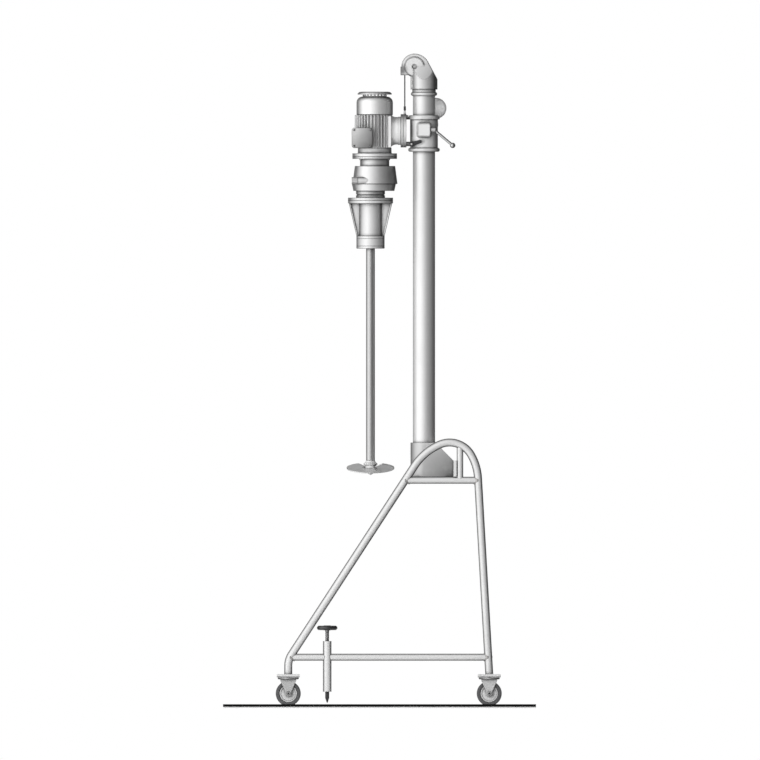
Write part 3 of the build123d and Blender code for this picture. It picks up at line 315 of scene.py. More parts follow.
@cache
def metal_grain() -> bpy.types.ShaderNodeTree:
    """Builds the group for ground or brushed metal, with lines across an axis.

    Returns:
        The group: Across and Along in, Lines and Smudge out.
    """
    w, given, gives = group("metal_grain", {"Across": 900.0, "Along": 12.0}, ("Lines", "Smudge"))
    place = w.place()
    scale = w.node("ShaderNodeCombineXYZ")
    for axis, way in (("X", "Along"), ("Y", "Along"), ("Z", "Across")):
        w.feed(given[way], scale.inputs[axis])
    stretched = w.node("ShaderNodeVectorMath", operation="MULTIPLY")
    w.feed(place, stretched.inputs[0])
    w.feed(scale.outputs["Vector"], stretched.inputs[1])
    w.feed(w.noise(stretched.outputs["Vector"], 1.0, 3.0), gives["Lines"])
    w.feed(w.ramp(w.noise(place, 9.0, 4.0), 0.3, 0.7), gives["Smudge"])
    return w.tree


@cache
def surface_skin() -> bpy.types.ShaderNodeTree:
    """Builds the group for the fine unevenness of a cast, painted or moulded skin.

    Returns:
        The group: Coarse and Fine in, Height and Cloud out.
    """
    w, given, gives = group("surface_skin", {"Coarse": 180.0, "Fine": 900.0}, ("Height", "Cloud"))
    place = w.place()
    coarse = w.times(w.noise(place, given["Coarse"], 2.0), 0.6)
    fine = w.times(w.noise(place, given["Fine"], 2.0), 0.4)
    w.feed(w.math("ADD", coarse, fine), gives["Height"])
    w.feed(w.ramp(w.noise(place, 7.0, 4.0), 0.3, 0.7), gives["Cloud"])
    return w.tree


@cache
def rounded_edge() -> bpy.types.ShaderNodeTree:
    """Builds the group that shades sharp edges as if they were rounded.

    Returns:
        The group: Radius in, Normal out.
    """
    w, given, gives = group("rounded_edge", {"Radius": 0.002}, ("Normal",), "NodeSocketVector")
    bevel = w.node("ShaderNodeBevel", samples=4)
    w.feed(given["Radius"], bevel.inputs["Radius"])
    w.feed(bevel.outputs["Normal"], gives["Normal"])
    return w.tree


@cache
def painted_shade_patch() -> bpy.types.ShaderNodeTree:
    """Builds the group for a soft patch of painted shade round a line that runs along Y.

    Returns:
        The group: the line's X and Z and the Inner and Outer radius in, Mask out.
    """
    w, given, gives = group("painted_shade_patch", {"X": 0.0, "Z": 0.0, "Inner": 0.02, "Outer": 0.1})
    parts = w.node("ShaderNodeSeparateXYZ")
    w.feed(w.place(), parts.inputs[0])
    across = w.math("SUBTRACT", parts.outputs["X"], given["X"])
    up = w.math("SUBTRACT", parts.outputs["Z"], given["Z"])
    away = w.math("SQRT", w.math("ADD", w.times(across, across), w.times(up, up)))
    spread = w.ramp(away, given["Outer"], given["Inner"])
    patchy = w.ramp(w.noise(w.place(), 30.0, 3.0), -0.8, 0.5)
    w.feed(w.times(spread, patchy, clamp=True), gives["Mask"])
    return w.tree


@cache
def painted_crevice_shade() -> bpy.types.ShaderNodeTree:
    """Builds the group that paints shade into inner corners and gaps, patchy.

    Returns:
        The group: Amount in, Mask out.
    """
    w, given, gives = group("painted_crevice_shade", {"Amount": 0.7})
    # Ambient occlusion made into painted shade: darker where corners close in.
    shut = w.node("ShaderNodeAmbientOcclusion", samples=6)
    w.feed(CREVICE_SHADE_REACH, shut.inputs["Distance"])
    closed = w.ramp(w.math("SUBTRACT", 1.0, shut.outputs["AO"]), 0.12, 0.60)
    patchy = w.ramp(w.noise(w.place(), 35.0, 3.0), -0.3, 0.45)
    w.feed(w.times(w.times(closed, patchy), given["Amount"], clamp=True), gives["Mask"])
    return w.tree


# Finishes


@dataclass(frozen=True)
class ShadePatch:
    """Painted shade round a line along Y: where it lies, how far it reaches and how dark it is."""

    x: float
    z: float
    inner: float
    outer: float
    dark: float


@dataclass(frozen=True)
class Finish:
    """What every finish has: its colour and sheen, and the painted shade in its corners and on its
    turned-away rims.
    """

    name: str
    color: Color
    rough: float
    metallic: float = 0.0
    # How much shade is painted into inner corners.
    crevice_shade: float = 0.9
    # rim, turn and turned: the painted shade on the rim that turns away from the camera.
    rim: float = 0.85
    turn: float = 0.03
    turned: float = 0.66
    edge: float = 0.003

    def material(self) -> bpy.types.Material:
        """Builds the material: its Principled shader, then the nodes of its kind.

        Returns:
            The material.
        """
        material = bpy.data.materials.new(self.name)
        material.use_nodes = True
        material.diffuse_color = (*self.color, 1.0)
        inputs = material.node_tree.nodes["Principled BSDF"].inputs
        inputs["Base Color"].default_value = (*self.color, 1.0)
        inputs["Roughness"].default_value = self.rough
        inputs["Metallic"].default_value = self.metallic
        self.lay(Wiring(material.node_tree), inputs)
        return material

    def lay(self, w: Wiring, inputs: bpy.types.NodeInputs) -> None:
        """Lays the nodes of one kind of finish. Each kind has its own."""
        raise NotImplementedError

    def relief(self, w: Wiring, inputs: bpy.types.NodeInputs, height: bpy.types.NodeSocket,
               depth: float) -> None:
        """Feeds a height, over rounded edges, to the shader's normal.

        Args:
            w: The material's wiring.
            inputs: The shader's inputs.
            height: The height's socket.
            depth: How far a full height stands, in metres.
        """
        bump = w.node("ShaderNodeBump")
        w.feed(w.use(rounded_edge, Radius=self.edge)["Normal"], bump.inputs["Normal"])
        w.feed(1.0, bump.inputs["Strength"])
        w.feed(depth, bump.inputs["Distance"])
        w.feed(height, bump.inputs["Height"])
        w.feed(bump.outputs["Normal"], inputs["Normal"])

    def paint_shade(self, w: Wiring, inputs: bpy.types.NodeInputs, tone: bpy.types.NodeSocket) -> None:
        """Paints shade into inner corners and onto the rim turned away from the camera, and feeds the
        colour.

        Args:
            w: The material's wiring.
            inputs: The shader's inputs.
            tone: The colour so far.
        """
        tone = w.mix(w.use(painted_crevice_shade, Amount=self.crevice_shade)["Mask"], tone, self.shade(0.10))
        # Painted shade on the rim that turns away from the camera, darkest at the silhouette.
        facing = w.node("ShaderNodeLayerWeight")
        w.feed(0.5, facing.inputs["Blend"])
        w.feed(w.use(rounded_edge, Radius=self.edge)["Normal"], facing.inputs["Normal"])
        away = w.times(w.ramp(facing.outputs["Facing"], self.turn, self.turned), self.rim)
        w.feed(w.mix(away, tone, self.shade(0.10)), inputs["Base Color"])

    def shade(self, factor: float) -> Color:
        """The finish's colour made lighter or darker by a factor."""
        return tuple(min(1.0, c * factor) for c in self.color)


@dataclass(frozen=True)
class GroundMetal(Finish):
    """Ground, brushed or polished metal."""

    metallic: float = 1.0
    across: float = 900.0
    along: float = 12.0
    depth: float = 0.00002
    dust: float = 0.15
    # How strong the painted shade along outer edges is.
    edge_shade: float = 0.6
    width: float = 0.0016

    def lay(self, w: Wiring, inputs: bpy.types.NodeInputs) -> None:
        """Lays the metal's lines, smudges, settled dust and the painted shade along its edges.

        Args:
            w: The material's wiring.
            inputs: The shader's inputs.
        """
        grain = w.use(metal_grain, Across=self.across, Along=self.along)
        dust = w.use(settled_dust, Amount=self.dust)["Mask"]
        edge = w.use(edge_line, Width=self.width, Reach=self.edge_shade)["Mask"]
        tone = w.mix(grain["Lines"], self.shade(0.93), self.shade(1.05))
        tone = w.mix(w.times(grain["Smudge"], 0.35), tone, self.shade(0.9))
        tone = w.mix(dust, tone, (0.62, 0.61, 0.59))
        # Painted shade along the outer edges.
        self.paint_shade(w, inputs, w.mix(edge, tone, self.shade(0.2)))
        rough = w.math("ADD", w.times(grain["Lines"], 0.16), self.rough - 0.08)
        rough = w.math("ADD", rough, w.times(grain["Smudge"], 0.07))
        w.feed(w.math("MAXIMUM", rough, dust), inputs["Roughness"])
        self.relief(w, inputs, grain["Lines"], self.depth)


@dataclass(frozen=True)
class CastPaint(Finish):
    """Paint on cast metal, with a metallic sheen, painted shade along its edges and painted shade patches.
    """

    metallic: float = 0.45
    shade_patches: tuple[ShadePatch, ...] = ()
    coarse: float = 160.0
    depth: float = 0.00012
    edge_shade: float = 1.0
    width: float = 0.0030
    dust: float = 0.35

    def lay(self, w: Wiring, inputs: bpy.types.NodeInputs) -> None:
        """Lays the paint's cast skin, painted shade patches, dust and the painted shade along its edges.

        Args:
            w: The material's wiring.
            inputs: The shader's inputs.
        """
        skin = w.use(surface_skin, Coarse=self.coarse)
        edge = w.use(edge_line, Width=self.width, Reach=self.edge_shade)["Mask"]
        dust = w.use(settled_dust, Amount=self.dust)["Mask"]
        tone = w.mix(skin["Cloud"], self.shade(0.95), self.shade(1.04))
        # Painted shade patches, darkest near each patch's line.
        for shade_patch in self.shade_patches:
            spot = w.use(painted_shade_patch, X=shade_patch.x, Z=shade_patch.z, Inner=shade_patch.inner, Outer=shade_patch.outer)
            tone = w.mix(spot["Mask"], tone, self.shade(shade_patch.dark))
        tone = w.mix(dust, tone, (0.60, 0.59, 0.57))
        self.paint_shade(w, inputs, w.mix(edge, tone, self.shade(0.10)))
        rough = w.math("ADD", w.times(skin["Height"], 0.14), self.rough - 0.07)
        w.feed(w.math("MAXIMUM", rough, dust), inputs["Roughness"])
        self.relief(w, inputs, skin["Height"], self.depth)


@dataclass(frozen=True)
class Moulded(Finish):
    """Moulded plastic or rubber, with a fine skin and painted shade along its edges."""

    depth: float = 0.00008
    fine: float = 1200.0
    coat: float = 0.0
    edge_shade: float = 0.35
    dust: float = 0.3

    def lay(self, w: Wiring, inputs: bpy.types.NodeInputs) -> None:
        """Lays the moulded skin, the painted shade along its edges, and dust.

        Args:
            w: The material's wiring.
            inputs: The shader's inputs.
        """
        inputs["Coat Weight"].default_value = self.coat
        skin = w.use(surface_skin, Coarse=320.0, Fine=self.fine)
        edge = w.use(edge_line, Width=0.0016, Reach=self.edge_shade)["Mask"]
        dust = w.use(settled_dust, Amount=self.dust, Scale=70.0)["Mask"]
        tone = w.mix(skin["Cloud"], self.shade(0.88), self.shade(1.1))
        tone = w.mix(edge, tone, self.shade(0.4))
        self.paint_shade(w, inputs, w.mix(dust, tone, (0.5, 0.49, 0.47)))
        w.feed(w.math("ADD", w.times(skin["Height"], 0.2), self.rough - 0.1), inputs["Roughness"])
        self.relief(w, inputs, skin["Height"], self.depth)


@dataclass(frozen=True)
class Plated(Finish):
    """Bright plating, with fine pits and a dull bloom."""

    metallic: float = 1.0
    depth: float = 0.00003
    width: float = 0.0028

    def lay(self, w: Wiring, inputs: bpy.types.NodeInputs) -> None:
        """Lays the plating's pits, bloom, dust and the painted shade along its edges.

        Args:
            w: The material's wiring.
            inputs: The shader's inputs.
        """
        skin = w.use(surface_skin, Coarse=90.0, Fine=1500.0)
        dust = w.use(settled_dust, Amount=0.25, Scale=60.0)["Mask"]
        edge = w.use(edge_line, Width=self.width, Reach=1.0)["Mask"]
        tone = w.mix(skin["Cloud"], self.shade(0.86), self.shade(1.08))
        tone = w.mix(dust, tone, (0.55, 0.54, 0.52))
        self.paint_shade(w, inputs, w.mix(edge, tone, self.shade(0.15)))
        rough = w.math("ADD", w.times(skin["Cloud"], 0.12), self.rough - 0.05)
        w.feed(w.math("MAXIMUM", rough, dust), inputs["Roughness"])
        self.relief(w, inputs, skin["Height"], self.depth)


def grey(value: float) -> Color:
    """A neutral grey."""
    return (value, value, value)


# Each finish's rim, turn and turned set its painted rim shade.
FINISHES = {finish.name: finish for finish in (
    GroundMetal("tube_steel", grey(0.72), 0.50, rim=0.95, turn=0.12, turned=0.50, metallic=0.2,
                across=500.0, along=40.0, depth=0.000003),
    GroundMetal("column_steel", grey(0.78), 0.42, rim=0.5, turn=0.18, turned=0.85, metallic=0.55, along=3.0),
    # The patches are painted shade: the bracket darker down to the right, the hood darker at its lip and its
    # right side, the variator darker on its right and the terminal box darker towards its bottom.
    CastPaint("bracket_steel", grey(0.60), 0.45, depth=0.00005, dust=0.25, metallic=0.3,
              shade_patches=(ShadePatch(0.27, 0.90, 0.03, 0.20, 0.35),)),
    CastPaint("casting", grey(0.74), 0.42, metallic=0.3),
    CastPaint("sleeve_grey", grey(0.76), 0.42, rim=0.7, turn=0.18, turned=0.55, width=0.009, metallic=0.15),
    CastPaint("hood_grey", grey(0.74), 0.42, edge=0.009, width=0.009, rim=0.8, turn=0.10, turned=0.34,
              metallic=0.25,
              shade_patches=(ShadePatch(0.052, 2.545, 0.010, 0.028, 0.3), ShadePatch(0.225, 2.50, 0.03, 0.13, 0.40))),
    CastPaint("head_grey", grey(0.72), 0.40, rim=0.8, turn=0.20, turned=0.6, coarse=220.0, width=0.005),
    CastPaint("variator_grey", grey(0.72), 0.40, turn=0.18, turned=0.55, coarse=220.0, width=0.006,
              shade_patches=(ShadePatch(0.035, 2.12, 0.03, 0.13, 0.45),)),
    CastPaint("arm_grey", grey(0.84), 0.40, rim=0.4, turn=0.15, turned=0.9, crevice_shade=0.4, metallic=0.1,
              coarse=220.0),
    CastPaint("fin_grey", grey(0.86), 0.40, crevice_shade=0.42, rim=0.5, turn=0.2, turned=0.9, metallic=0.2,
              width=0.0018, coarse=220.0),
    CastPaint("box_grey", grey(0.52), 0.40, coarse=220.0, metallic=0.3,
              shade_patches=(ShadePatch(-0.107, 2.20, 0.03, 0.12, 0.45),)),
    CastPaint("sheet_grey", grey(0.80), 0.36, rim=0.8, turn=0.20, turned=0.6, depth=0.00003, width=0.005),
    Moulded("dark_plastic", (0.030, 0.030, 0.031), 0.28, coat=0.5),
    Moulded("knob_grey", grey(0.52), 0.40, edge_shade=0.8),
    Moulded("grip_plastic", grey(0.98), 0.30, rim=0.7, turn=0.42, turned=0.85, depth=0.00002, coat=0.3),
    Moulded("bush_plastic", (0.72, 0.71, 0.66), 0.5),
    Plated("bright_steel", grey(0.78), 0.38),
    GroundMetal("shaft_steel", grey(0.56), 0.36, turn=0.2, across=260.0, along=3.0, depth=0.000002,
                metallic=0.85),
    GroundMetal("blade_steel", grey(0.84), 0.45, rim=0.35, turn=0.5, turned=0.98, metallic=0.3, edge_shade=1.0,
                width=0.006),
    GroundMetal("core_steel", (0.34, 0.34, 0.345), 0.5, across=1800.0, along=1800.0),
    CastPaint("dark_iron", (0.10, 0.10, 0.105), 0.6, edge_shade=0.3),
    CastPaint("dark_metal", (0.05, 0.05, 0.052), 0.42, depth=0.00003, edge_shade=0.6),
    Moulded("wheel_core", grey(0.62), 0.42, edge_shade=0.9),
    Moulded("tyre", (0.085, 0.085, 0.087), 0.62, depth=0.00015, dust=0.5),
    GroundMetal("rope_wire", (0.03, 0.03, 0.031), 0.55, metallic=0.1, dust=0.0, across=400.0, along=400.0),
    # Black for the painted shadow lines in the head's seams.
    Moulded("seam_shadow", (0.02, 0.02, 0.021), 0.6, edge_shade=0.0),
    GroundMetal("weld", (0.46, 0.45, 0.44), 0.45, metallic=0.4, across=500.0, along=500.0),
)}
OWN_FINISH = {"motor_flange": "head_grey", "variator_housing": "variator_grey",
              "variator_cover": "variator_grey", "impeller": "blade_steel", "terminal_box": "box_grey",
              "variator_knob": "knob_grey", "motor_frame": "fin_grey", "head_casting": "hood_grey",
              "carriage_sleeve": "sleeve_grey", "motor_bracket": "arm_grey", "swivel_flange": "head_grey",
              "pulley_axle": "casting", "jack_foot_near": "dark_metal", "jack_foot_far": "dark_metal"}


@cache
def dressing(name: str) -> bpy.types.Material:
    """The material of the finish of that name, built once."""
    return FINISHES[name].material()


# Mesh building


class Shape:
    """A bmesh under work, in the part's frame."""

    def __init__(self) -> None:
        """Starts an empty mesh."""
        self.bm = bmesh.new()

    def add(self, other: Shape) -> None:
        """Takes in another shape's mesh, which ends that shape.

        Args:
            other: The other shape.
        """
        mesh = bpy.data.meshes.new("part")
        other.bm.to_mesh(mesh)
        other.bm.free()
        self.bm.from_mesh(mesh)
        bpy.data.meshes.remove(mesh)

    def move(self, by: Point) -> None:
        """Moves the whole mesh."""
        bmesh.ops.translate(self.bm, vec=by, verts=self.bm.verts)

    def place(self, at: Point, facing: Facing = Facing.UP, turn: float = 0.0) -> Shape:
        """Turns the shape's +Z to a direction and moves it.

        Args:
            at: Where its origin goes.
            facing: Where its +Z points.
            turn: A turn about its own axis first, in radians.

        Returns:
            This shape.
        """
        if facing is Facing.DOWN:
            aim = Matrix.Rotation(pi, 4, "X")
        else:
            aim = Vector((0, 0, 1)).rotation_difference(Vector(facing.value)).to_matrix().to_4x4()
        matrix = Matrix.Translation(at) @ aim @ Matrix.Rotation(turn, 4, "Z")
        bmesh.ops.transform(self.bm, matrix=matrix, verts=self.bm.verts)
        return self

    def strip(self, outline: Sequence[tuple[float, float]]) -> list:
        """Lays an open outline in the XZ plane.

        Args:
            outline: Its (radius, height) points, from one end to the other.

        Returns:
            Its vertices and edges.
        """
        verts = [self.bm.verts.new((r, 0.0, z)) for r, z in outline]
        return verts + [self.bm.edges.new(pair) for pair in zip(verts, verts[1:])]

    def circle(self, radius: float, sides: int, matrix: Matrix) -> list:
        """Lays a round section.

        Args:
            radius: Its radius.
            sides: Its number of sides.
            matrix: Where it goes.

        Returns:
            Its vertices and edges.
        """
        section = bmesh.ops.create_circle(self.bm, cap_ends=False, radius=radius, segments=sides)["verts"]
        bmesh.ops.transform(self.bm, matrix=matrix, verts=section)
        return section + list({e for v in section for e in v.link_edges})

    def spin(self, geom: list, steps: int, turns: float = 1.0, rise: float = 0.0) -> None:
        """Spins an outline about +Z, closed on itself or rising like a thread.

        Args:
            geom: The outline's vertices and edges.
            steps: The number of steps in all.
            turns: The number of turns.
            rise: The height gained in all.
        """
        bmesh.ops.spin(self.bm, geom=geom, cent=(0, 0, 0), axis=(0, 0, 1), dvec=(0, 0, rise / steps),
                       angle=2 * pi * turns, steps=steps, use_merge=not rise, use_duplicate=False)

    def close(self, gap: float = 1e-6) -> Shape:
        """Merges doubled points and turns the faces outward.

        Args:
            gap: Points nearer than this are merged.

        Returns:
            This shape.
        """
        bmesh.ops.remove_doubles(self.bm, verts=self.bm.verts, dist=gap)
        bmesh.ops.recalc_face_normals(self.bm, faces=self.bm.faces)
        return self

    def lathe(self, outline: Sequence[tuple[float, float]], steps: int) -> Shape:
        """Spins an outline of (radius, height) points about +Z.

        Args:
            outline: The points, from one end to the other.
            steps: How many faces go round.

        Returns:
            This shape.
        """
        self.spin(self.strip(outline), steps)
        return self.close()

    def ring(self, radius: float, thick: float, steps: int, sides: int) -> Shape:
        """Makes a round ring about +Z.

        Args:
            radius: The ring's middle radius.
            thick: The radius of its section.
            steps: Faces round the ring.
            sides: Faces round the section.

        Returns:
            This shape.
        """
        upright = Matrix.Translation((radius, 0, 0)) @ Matrix.Rotation(pi / 2, 4, "X")
        self.spin(self.circle(thick, sides, upright), steps)
        return self.close()

    def cylinder(self, radius: float, tall: float, sides: int) -> Shape:
        """Makes a cylinder or prism that stands on the origin.

        Args:
            radius: Its radius.
            tall: Its height.
            sides: Its number of sides.

        Returns:
            This shape.
        """
        bmesh.ops.create_cone(self.bm, cap_ends=True, segments=sides, radius1=radius, radius2=radius,
                              depth=tall)
        self.move((0, 0, tall / 2))
        return self

    def soften(self, width: float, angle: float) -> Shape:
        """Bevels the sharp edges in two steps.

        Args:
            width: The bevel's width.
            angle: Edges sharper than this are beveled, in degrees.

        Returns:
            This shape.
        """
        limit = radians(angle)
        sharp = [e for e in self.bm.edges if len(e.link_faces) == 2 and e.calc_face_angle(0.0) > limit]
        bmesh.ops.bevel(self.bm, geom=sharp, offset=width, offset_type="OFFSET", segments=2,
                        profile=0.5, affect="EDGES", clamp_overlap=True, material=-1)
        return self

    def finish(self, name: str, body: str, material: bpy.types.Material) -> bpy.types.Object:
        """Makes the object, dresses it and sets it riding.

        Args:
            name: The piece's name.
            body: The body it rides on, or nothing where it rides on none, as for the rope's runs and the
                studio.
            material: Its material.

        Returns:
            The finished object.
        """
        mesh = bpy.data.meshes.new(name)
        for face in self.bm.faces:
            face.smooth = True
        for edge in self.bm.edges:
            edge.smooth = len(edge.link_faces) == 2 and edge.calc_face_angle(0.0) < SMOOTH
        self.bm.to_mesh(mesh)
        self.bm.free()
        piece = bpy.data.objects.new(name, mesh)
        bpy.context.scene.collection.objects.link(piece)
        mesh.materials.append(material)
        if body:
            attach(piece, body)
        log.info("%s on %s: %d faces", name, body or "no single body", len(mesh.polygons))
        return piece


@dataclass(frozen=True)
class Screw:
    """A screw's visible head: flush, or a hexagon on a washer. All its sizes follow from one."""

    size: float
    drive: Drive = Drive.HEX

    def shape(self) -> Shape:
        """Builds the head, standing on its seat at the origin, along +Z.

        Returns:
            The shape.
        """
        d = self.size
        if self.drive is Drive.FLUSH:
            rim, hole, low = d * 0.95, d * 0.32, d * 0.45
            outline = [(0, -low), (hole, -low), (hole, d * 0.02), (rim - d * 0.06, d * 0.03), (rim, 0),
                       (rim * 0.7, -low)]
            return Shape().lathe(outline, self.drive.value)
        hole, rim, thick = d * 0.3, d * 1.02, d * 0.16
        washer = [(hole, 0), (rim, 0), (d * 1.06, thick * 0.4), (rim, thick), (hole, thick)]
        whole = Shape().lathe(washer, 20)
        head = Shape().cylinder(d * 0.95, d * 0.66, self.drive.value)
        head.move((0, 0, thick))
        whole.add(head.soften(d * 0.07, 50.0))
        return whole


@dataclass(frozen=True)
class Seat:
    """Where a screw sits."""

    at: Point
    facing: Facing
    turn: float


def screws(name: str, screw: Screw, seats: Iterable[Seat], body: str) -> None:
    """Sets one kind of bright screw in several seats, as one piece.

    Args:
        name: The piece's name.
        screw: The kind of screw.
        seats: Where they go.
        body: The body they ride on.
    """
    whole = Shape()
    for seat in seats:
        whole.add(screw.shape().place(seat.at, seat.facing, seat.turn))
    whole.finish(name, body, dressing("bright_steel"))


def circle_seats(center: Point, radius: float, count: int, facing: Facing, start: float = 0.0) -> list[Seat]:
    """Seats on a bolt circle about an upright axis.

    Args:
        center: The circle's centre.
        radius: Its radius.
        count: How many seats.
        facing: Where the screws point.
        start: The first seat's angle, in radians.

    Returns:
        The seats.
    """
    x, y, z = center
    turns = [start + 2 * pi * i / count for i in range(count)]
    return [Seat((x + radius * cos(a), y + radius * sin(a), z), facing, a) for a in turns]


# Sub-assemblies


@dataclass
class CadPieces:
    """The CAD nodes that show, each with its own finish or that of its slot."""

    frame: dict

    def build(self) -> None:
        """Dresses every node in one finish all over."""
        slots = {part["node"]: part["material_slot"] for part in self.frame["record"]["subparts"]}
        for name, node in self.frame["nodes"].items():
            finish = OWN_FINISH.get(name, slots[name])
            node.data.materials.clear()
            node.data.materials.append(dressing(finish))
            log.info("%s dressed as %s", name, finish)


@dataclass(frozen=True)
class Rail:
    """A rail: its height, where it meets the legs' centre lines, and the front leg's lean there."""

    z: float
    front_x: float
    rear_x: float
    lean: float


@dataclass
class SideFrames:
    """Welds and bolts on the two bent-tube side frames."""

    lower: Rail = Rail(0.1952, -0.3947, 0.3981, 25.0)
    upper: Rail = Rail(0.903, 0.0655, 0.3577, 33.1)
    rear_lean: float = -3.27
    leg_radius: float = 0.016
    rail_radius: float = 0.014
    bead: float = 0.0022
    plate_z: float = 0.1271
    bolt: float = 0.008
    bolt_reach: float = 0.034
    bolt_turn: float = 0.306

    def saddle(self, at: Point, direction: Vector, lean: float) -> Shape:
        """Builds the weld bead where a rail meets a leg.

        Args:
            at: Where the rail's axis meets the leg's axis.
            direction: The way the rail leaves.
            lean: How far the leg leans to +X there, in degrees.

        Returns:
            The bead.
        """
        bead = Shape().ring(self.rail_radius + self.bead * 0.35, self.bead, 36, 7)
        leg = Vector((sin(radians(lean)), 0, cos(radians(lean))))
        across = direction.cross(leg).normalized()
        along = across.cross(direction).normalized()
        for vert in bead.bm.verts:
            x, y = vert.co.x, vert.co.y
            side = max(-self.leg_radius, min(self.leg_radius, x))
            rise = sqrt(max(0.0, self.leg_radius**2 - side**2))
            vert.co = Vector(at) + across * x + along * y + direction * (rise + vert.co.z)
        bmesh.ops.recalc_face_normals(bead.bm, faces=bead.bm.faces)
        return bead

    def build(self) -> None:
        """Builds the beads round the rails' ends and the screws of the caster plates."""
        whole = Shape()
        for side in (NEAR, FAR):
            y = side * TRACK / 2
            for rail in (self.lower, self.upper):
                whole.add(self.saddle((rail.front_x, y, rail.z), Vector((1, 0, 0)), rail.lean))
                whole.add(self.saddle((rail.rear_x, y, rail.z), Vector((-1, 0, 0)), self.rear_lean))
            rear_joint = (self.lower.rear_x, y, self.lower.z)
            whole.add(self.saddle(rear_joint, Vector((0, -side, 0)), self.rear_lean))
        whole.finish("rail_welds", "frame", dressing("weld"))
        seats = []
        for end, side, left, far in product((-1, 1), repeat=4):
            x = end * WHEELBASE / 2 + left * self.bolt_reach
            y = side * TRACK / 2 + far * self.bolt_reach
            seats.append(Seat((x, y, self.plate_z), Facing.UP, left * self.bolt_turn))
        screws("caster_plate_screws", Screw(self.bolt, Drive.FLUSH), seats, "frame")


@dataclass
class AxleCaps:
    """The dark caps on the ends of the casters' axles."""

    axle_z: float = 0.050
    radius: float = 0.0047
    crown_radius: float = 0.00376
    sunk: float = 0.0005
    rim_rise: float = 0.0004
    crown_rise: float = 0.001
    rise: float = 0.0012

    def build(self) -> None:
        """Builds a cap on each end of each axle."""
        outline = [(0, -self.sunk), (self.radius, -self.sunk), (self.radius, self.rim_rise),
                   (self.crown_radius, self.crown_rise), (0, self.rise)]
        for end, x in (("front", -WHEELBASE / 2), ("rear", WHEELBASE / 2)):
            for side in ("near", "far"):
                low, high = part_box(f"caster_fork_{end}_{side}")
                whole = Shape()
                for y, facing in ((low.y, Facing.NEAR), (high.y, Facing.FAR)):
                    whole.add(Shape().lathe(outline, 20).place((x, y, self.axle_z), facing))
                whole.finish(f"axle_caps_{end}_{side}", f"fork_{end}_{side}", dressing("dark_metal"))


@dataclass
class LiftingRope:
    """The wire rope's two straight runs, laid up from six strands, with the pressed ferrule."""

    radius: float = 0.0025
    strand: float = 0.00088
    core: float = 0.001092
    lay: float = 0.020
    strands: int = 6
    ferrule_rise: float = 0.0142
    ferrule: tuple[tuple[float, float], ...] = (
        (0.0026, 0), (0.0043, 0.0008), (0.0046, 0.002), (0.0046, 0.014), (0.0040, 0.016), (0.0026, 0.0175))

    def build(self) -> None:
        """Builds the runs and the ferrule."""
        self.run("outer", 14)
        self.run("inner", 6)
        low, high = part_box("rope_outer_run")
        ferrule = Shape().lathe(self.ferrule, 20)
        ferrule.move(((low.x + high.x) / 2, 0, low.z + self.ferrule_rise))
        ferrule.finish("rope_ferrule", "carriage", dressing("dark_metal"))

    def run(self, name: str, detail: int) -> None:
        """Builds one run's strands round a core.

        Args:
            name: The run, outer or inner.
            detail: Steps in each turn of the lay.
        """
        low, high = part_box(f"rope_{name}_run")
        x = (low.x + high.x) / 2
        length = high.z - low.z
        turns = length / self.lay
        out = Matrix.Translation((self.radius - self.strand, 0, 0))
        whole = Shape()
        for i in range(self.strands):
            one = Shape()
            section = one.circle(self.strand, 7, Matrix.Rotation(2 * pi * i / self.strands, 4, "Z") @ out)
            one.spin(section, int(turns * detail), turns, length)
            whole.add(one)
        whole.add(Shape().cylinder(self.core, length, 10))
        bmesh.ops.recalc_face_normals(whole.bm, faces=whole.bm.faces)
        whole.move((x, 0, low.z))
        rope = whole.finish(f"rope_strands_{name}", "", dressing("rope_wire"))
        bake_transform(rope)
        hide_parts(f"rope_{name}_run")


@dataclass
class ScrewJack:
    """A floor jack's threaded screw, between its foot pin and its plain top."""

    side: int
    x: float = -0.2462
    radius: float = 0.008
    depth: float = 0.0011
    lead: float = 0.004
    steps: int = 20
    pin_radius: float = 0.004
    pin_length: float = 0.0102
    plain_length: float = 0.0215
    chamfer: float = 0.0004

    def build(self) -> None:
        """Builds the thread and the three plain stretches, which stand for the plain screw."""
        name = "near" if self.side == NEAR else "far"
        low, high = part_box(f"jack_screw_{name}")
        y = self.side * TRACK / 2
        bottom, top = low.z + self.pin_length, high.z - self.plain_length
        turns = (top - bottom) / self.lead
        root, crest, p = self.radius - self.depth, self.radius - 0.0002, self.lead
        outline = [(root, -0.25 * p), (root, 0.0), (crest, 0.14 * p), (crest, 0.40 * p), (root, 0.54 * p),
                   (root, 0.75 * p)]
        shape = Shape()
        shape.spin(shape.strip(outline), int(turns * self.steps), turns, top - bottom)
        shape.close(1e-5).move((self.x, y, bottom))
        for z0, z1, r in ((low.z, bottom + 0.0006, self.pin_radius), (bottom - 0.0001, bottom + 0.003, root),
                          (top - 0.004, high.z, self.radius)):
            c = self.chamfer
            plain = [(0, z0), (r - c, z0), (r, z0 + c), (r, z1 - c), (r - c, z1), (0, z1)]
            core = Shape().lathe(plain, self.steps)
            core.move((self.x, y, 0))
            shape.add(core)
        screw = shape.finish(f"jack_thread_{name}", f"jack_screw_{name}", dressing("bright_steel"))
        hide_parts(f"jack_screw_{name}")


@dataclass
class LockNut:
    """The nut and washer on the lock lever's pin."""

    x: float = 0.0918
    z: float = 2.2476
    size: float = 0.0055

    def build(self) -> None:
        """Builds the nut on the lever's near face."""
        low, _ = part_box("lock_lever")
        seat = Seat((self.x, low.y, self.z), Facing.NEAR, 0.3)
        screws("lock_nut", Screw(self.size), [seat], "lock_lever")


